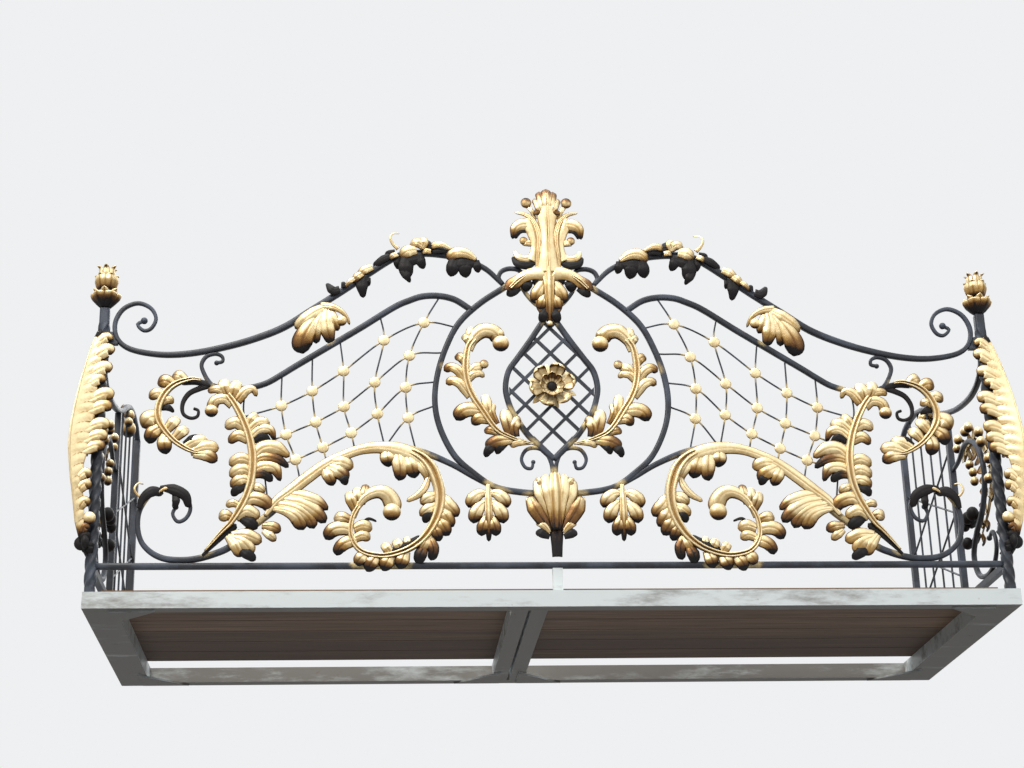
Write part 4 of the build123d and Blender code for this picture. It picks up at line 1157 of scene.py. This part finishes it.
# %% Side leaves
side_leaf = Shape()
blades(side_leaf, """
    650,570 640,596 636,618 : 26 34 24 : 0 0 .2
    680,582 674,612 676,636 : 26 38 28 : 0 0 .2
    715,598 716,626 724,648 : 28 38 28 : 0 0 .2
    760,598 770,624 788,640 : 28 38 28 : 0 0 .2
    815,572 834,592 856,600 : 30 40 30 : 0 0 .4
    850,536 878,548 904,548 : 30 40 30 : 0 0 .5
    872,486 900,492 928,484 : 30 42 30 : 0 0 .8
    880,436 906,432 930,414 : 30 42 30 : 0 .2 1.2
    862,392 882,376 896,352 : 30 40 28 : 0 .3 1.6
    700,590 706,566 702,544 : 24 34 24 : 0 .2 1.2
    750,588 752,560 742,534 : 26 38 28 : 0 .2 1.4
    800,560 792,532 776,510 : 26 40 28 : 0 .2 1.4
    838,510 818,492 794,480 : 26 38 28 : 0 .1 .8
    858,456 834,448 806,446 : 26 38 28 : 0 .1 .4
    850,400 824,406 798,414 : 26 38 28 : 0 0 .2
    812,342 796,362 776,376 : 26 36 26 : 0 0 .2
    770,310 752,334 734,346 : 24 34 24 : 0 0 .2
    800,322 806,298 820,278 : 26 36 24 : 0 .4 1.6
    748,290 752,264 764,246 : 24 32 20 : 0 .4 1.6
    770,306 742,336 700,352 648,346 : 20 46 48 34 : 2
    736,284 706,292 676,290 652,278 : 14 34 40 30 : 2
    900,262 922,240 930,212 : 30 40 28 : 2
    908,190 928,176 936,152 : 30 40 26 : 2
    300,876 280,846 284,812 : 30 46 34 : 0 .1 .8
    310,872 312,838 316,800 : 30 46 36 : 0 .2 1
    322,868 346,842 352,812 : 30 42 30 : 0 .4 1.6""", sheet=left_side)
KNOBS = """
    312,794 56 .8 -4, 276,806 34 .5 6, 352,806 32 .8 -8, 318,842 38 .6 -6, 636,616 30 .8 0,
    676,634 32 .6 -6, 724,646 34 .6 4, 788,638 34 .6 -4, 854,598 34 .7 6, 902,548 34 .8 -6,
    926,484 34 .9 4, 928,416 32 1.2 -4, 776,512 30 1.2 -10, 796,480 30 .8 -8, 808,446 30 .6 -10,
    738,358 46 2 -6, 690,358 42 2 -8, 648,344 38 2 -6, 656,282 40 2 -6"""
for x, z, diameter, shade, raised in np.reshape(numbers(KNOBS), (-1, 5)):
    knob(side_leaf, (x, z), diameter, shade, sheet=left_side, raised=raised, squash=0.85)
rib(side_leaf, "640,572 710,602 790,590 860,530 885,440 830,350 740,290",
    (10, 18, 20, 20, 16, 12, 6), sheet=left_side)
side_leaf.build("side_leaf_pair", "gold_leaf", ["side_leaves"], SHEET)

# %% [markdown]
# The side net is plainer: four upright wires share out the width, and two crosses span it.

# %% Side nets
hand_line = smooth(HANDRAIL, 200) / MM
net_side = Shape()
_, inner_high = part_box("inner_stiles")
wall_edge, inner_edge = 25.0, -inner_high.y / MM
uprights = wall_edge + (inner_edge - wall_edge) * np.arange(1, 5) / 5
side_wires = [[(away, 120), (away, 500), (away, np.interp(away, *hand_line.T))] for away in uprights]
for low, high in ((200, 420), (420, 640)):
    side_wires += [[(wall_edge, low), (inner_edge, high)], [(wall_edge, high), (inner_edge, low)]]
for points in side_wires:
    bar(net_side, points, (7,), 7, sheet=left_side, samples=24, profile=ROUND)
net_side.build("side_net_wires", "black_iron", ["side_nets"])

# %% [markdown]
# ## Gold drift on the bars
# The leaves were sprayed in place, so the bars next to them caught some paint. For each point of
# a bar the distance d to the nearest leaf point gives near = exp(-(d / 22 mm) ** 2). Blocks
# of 1000 points at a time keep the table of distances small.

# %% Distance to the leaves
DRIFT = 22 * MM


def corners(name):
    """Points of a mesh seen from the front, and its number of painted shade at each of them."""
    mesh = bpy.data.objects[name].data
    flat, painted_shade_and_black = np.empty(len(mesh.vertices) * 3), np.empty(len(mesh.vertices))
    mesh.vertices.foreach_get("co", flat)
    mesh.attributes["painted_shade_and_black"].data.foreach_get("value", painted_shade_and_black)
    return flat.reshape(-1, 3)[:, ::2], painted_shade_and_black


def drift(bar_names, leaf_names, every):
    """Write near to each bar: d d = a a + b b - 2 a b for all pairs of places a and b in the panel."""
    leaves = [corners(name) for name in leaf_names]
    leaf_points = np.vstack([spots[painted_shade_and_black < 1.6][::every] for spots, painted_shade_and_black in leaves])
    for name in bar_names:
        spots, _ = corners(name)
        square = [((block**2).sum(1)[:, None] + (leaf_points**2).sum(1) - 2 * block @ leaf_points.T).min(1)
                  for block in np.array_split(spots, len(spots) // 1000 + 1)]
        near = np.exp(-np.clip(np.concatenate(square), 0, None) / DRIFT**2)
        attribute = bpy.data.objects[name].data.attributes.new("near", "FLOAT", "POINT")
        attribute.data.foreach_set("value", near)
    print(len(leaf_points), "places with gilding near", len(bar_names), "pieces of bar")


drift(
    ["shoulder_bars", "lower_scroll_bars", "medallion_bar", "small_curls", "pointed_bars",
     "bottom_rail_bar"],
    ["tall_leaf_pair", "hook_leaf_pair", "scroll_leaf_pair", "arch_leaf_pair", "medallion_leaf_pair",
     "rail_leaf_pair", "top_leaf_pair", "drop_leaf_pair", "foot_leaf_pair", "calyx_leaf_piece",
     "crest_leaves"], 11)
drift(["net_wires"], ["net_plates"], 7)

# %% [markdown]
# ## The camera of the photo
# The camera has the place, the direction, the lens and the slight roll that were fitted to the
# photo.

# %% Camera
CAMERA_PLACE = (-0.58466, -6.69754, -1.49024)
VIEW_DIRECTION = (0.0753, 0.9307, 0.3580)
ROLL = np.radians(-1.4166)
camera_data = bpy.data.cameras.new("camera")
camera_data.lens = 68.93
camera_data.sensor_width = 36.0
camera = put("camera", camera_data)
bpy.context.scene.camera = camera
forward = Vector(VIEW_DIRECTION).normalized()
across = forward.cross(Vector((0, 0, 1))).normalized()
upward = across.cross(forward)
right = across * np.cos(ROLL) + upward * np.sin(ROLL)
top = upward * np.cos(ROLL) - across * np.sin(ROLL)
turned_to_view = Matrix((right, top, -forward)).transposed().to_4x4()
camera.matrix_world = Matrix.Translation(CAMERA_PLACE) @ turned_to_view
print("camera", round(-CAMERA_PLACE[1], 1), "m in front of the wall")

# %% [markdown]
# ## Light
# Large lamps give the soft light of an overcast street, strongest from the upper left.

# %% Lamps
def lamp(name, place, aim, size, power, colour=(1, 1, 1)):
    """Large square area light at place, turned to aim."""
    data = bpy.data.lights.new(name, "AREA")
    data.size, data.energy, data.color = size, power, colour
    aimed = (Vector(aim) - Vector(place)).to_track_quat("-Z", "Y").to_matrix().to_4x4()
    put(name, data).matrix_world = Matrix.Translation(place) @ aimed


lamp("key", (-3.0, -5.5, 6.0), (0, -0.8, 0.5), 4.0, 640, (1.0, 0.97, 0.92))
lamp("fill", (5.0, -6.5, 2.5), (0, -0.8, 0.4), 5.0, 150, (0.92, 0.96, 1.0))
lamp("back", (1.0, 5.0, 5.0), (0, -0.5, 0.5), 5.0, 220)
lamp("sky", (0.0, -1.5, 7.0), (0, -0.8, 0.5), 6.0, 420, (0.95, 0.98, 1.0))

# %% [markdown]
# ## Ground and sky
# Both look pale, but throw less light at the object than they show, as in a street with dark
# walls. A light path node tells the two uses apart.

# %% Ground and sky
def looked_at(tree):
    """1 for rays that reach the camera, also mirrored or bent ones, 0 for light on the object."""
    rays = tree.nodes.new("ShaderNodeLightPath").outputs
    seen, mirrored, bent = (Field(tree, rays[name]) for name in (
        "Is Camera Ray", "Is Glossy Ray", "Is Transmission Ray"))
    return seen + mirrored + bent


def paint_floor(place):
    """Pale to the camera and in reflections, darker where it would throw light up at the object."""
    seen = looked_at(place.tree)
    return {
        "Base Color": seen.mix((0.12, 0.12, 0.12, 1), (0.42, 0.42, 0.415, 1)),
        "Emission Color": seen.mix((0, 0, 0, 1), (0.46, 0.465, 0.47, 1)),
        "Emission Strength": 1.0,
        "Roughness": 0.9,
    }


FLOOR_LEVEL, FLOOR_REACH = -3.2, 30
floor_mesh = bpy.data.meshes.new("floor")
floor_mesh.from_pydata(
    [(x * FLOOR_REACH, y * FLOOR_REACH, FLOOR_LEVEL) for x, y in ((-1, -1), (1, -1), (1, 1), (-1, 1))],
    [], [(0, 1, 2, 3)])
floor = put("floor", floor_mesh)
floor_mesh.materials.append(finish("floor_paint", paint_floor))

world = bpy.data.worlds.new("world")
bpy.context.scene.world = world
world.use_nodes = True
sky = world.node_tree
tint = looked_at(sky).mix((0.13, 0.14, 0.155, 1), (0.86, 0.87, 0.88, 1))
sky.links.new(tint.socket, sky.nodes["Background"].inputs["Color"])
bpy.context.scene.view_settings.view_transform = "Standard"
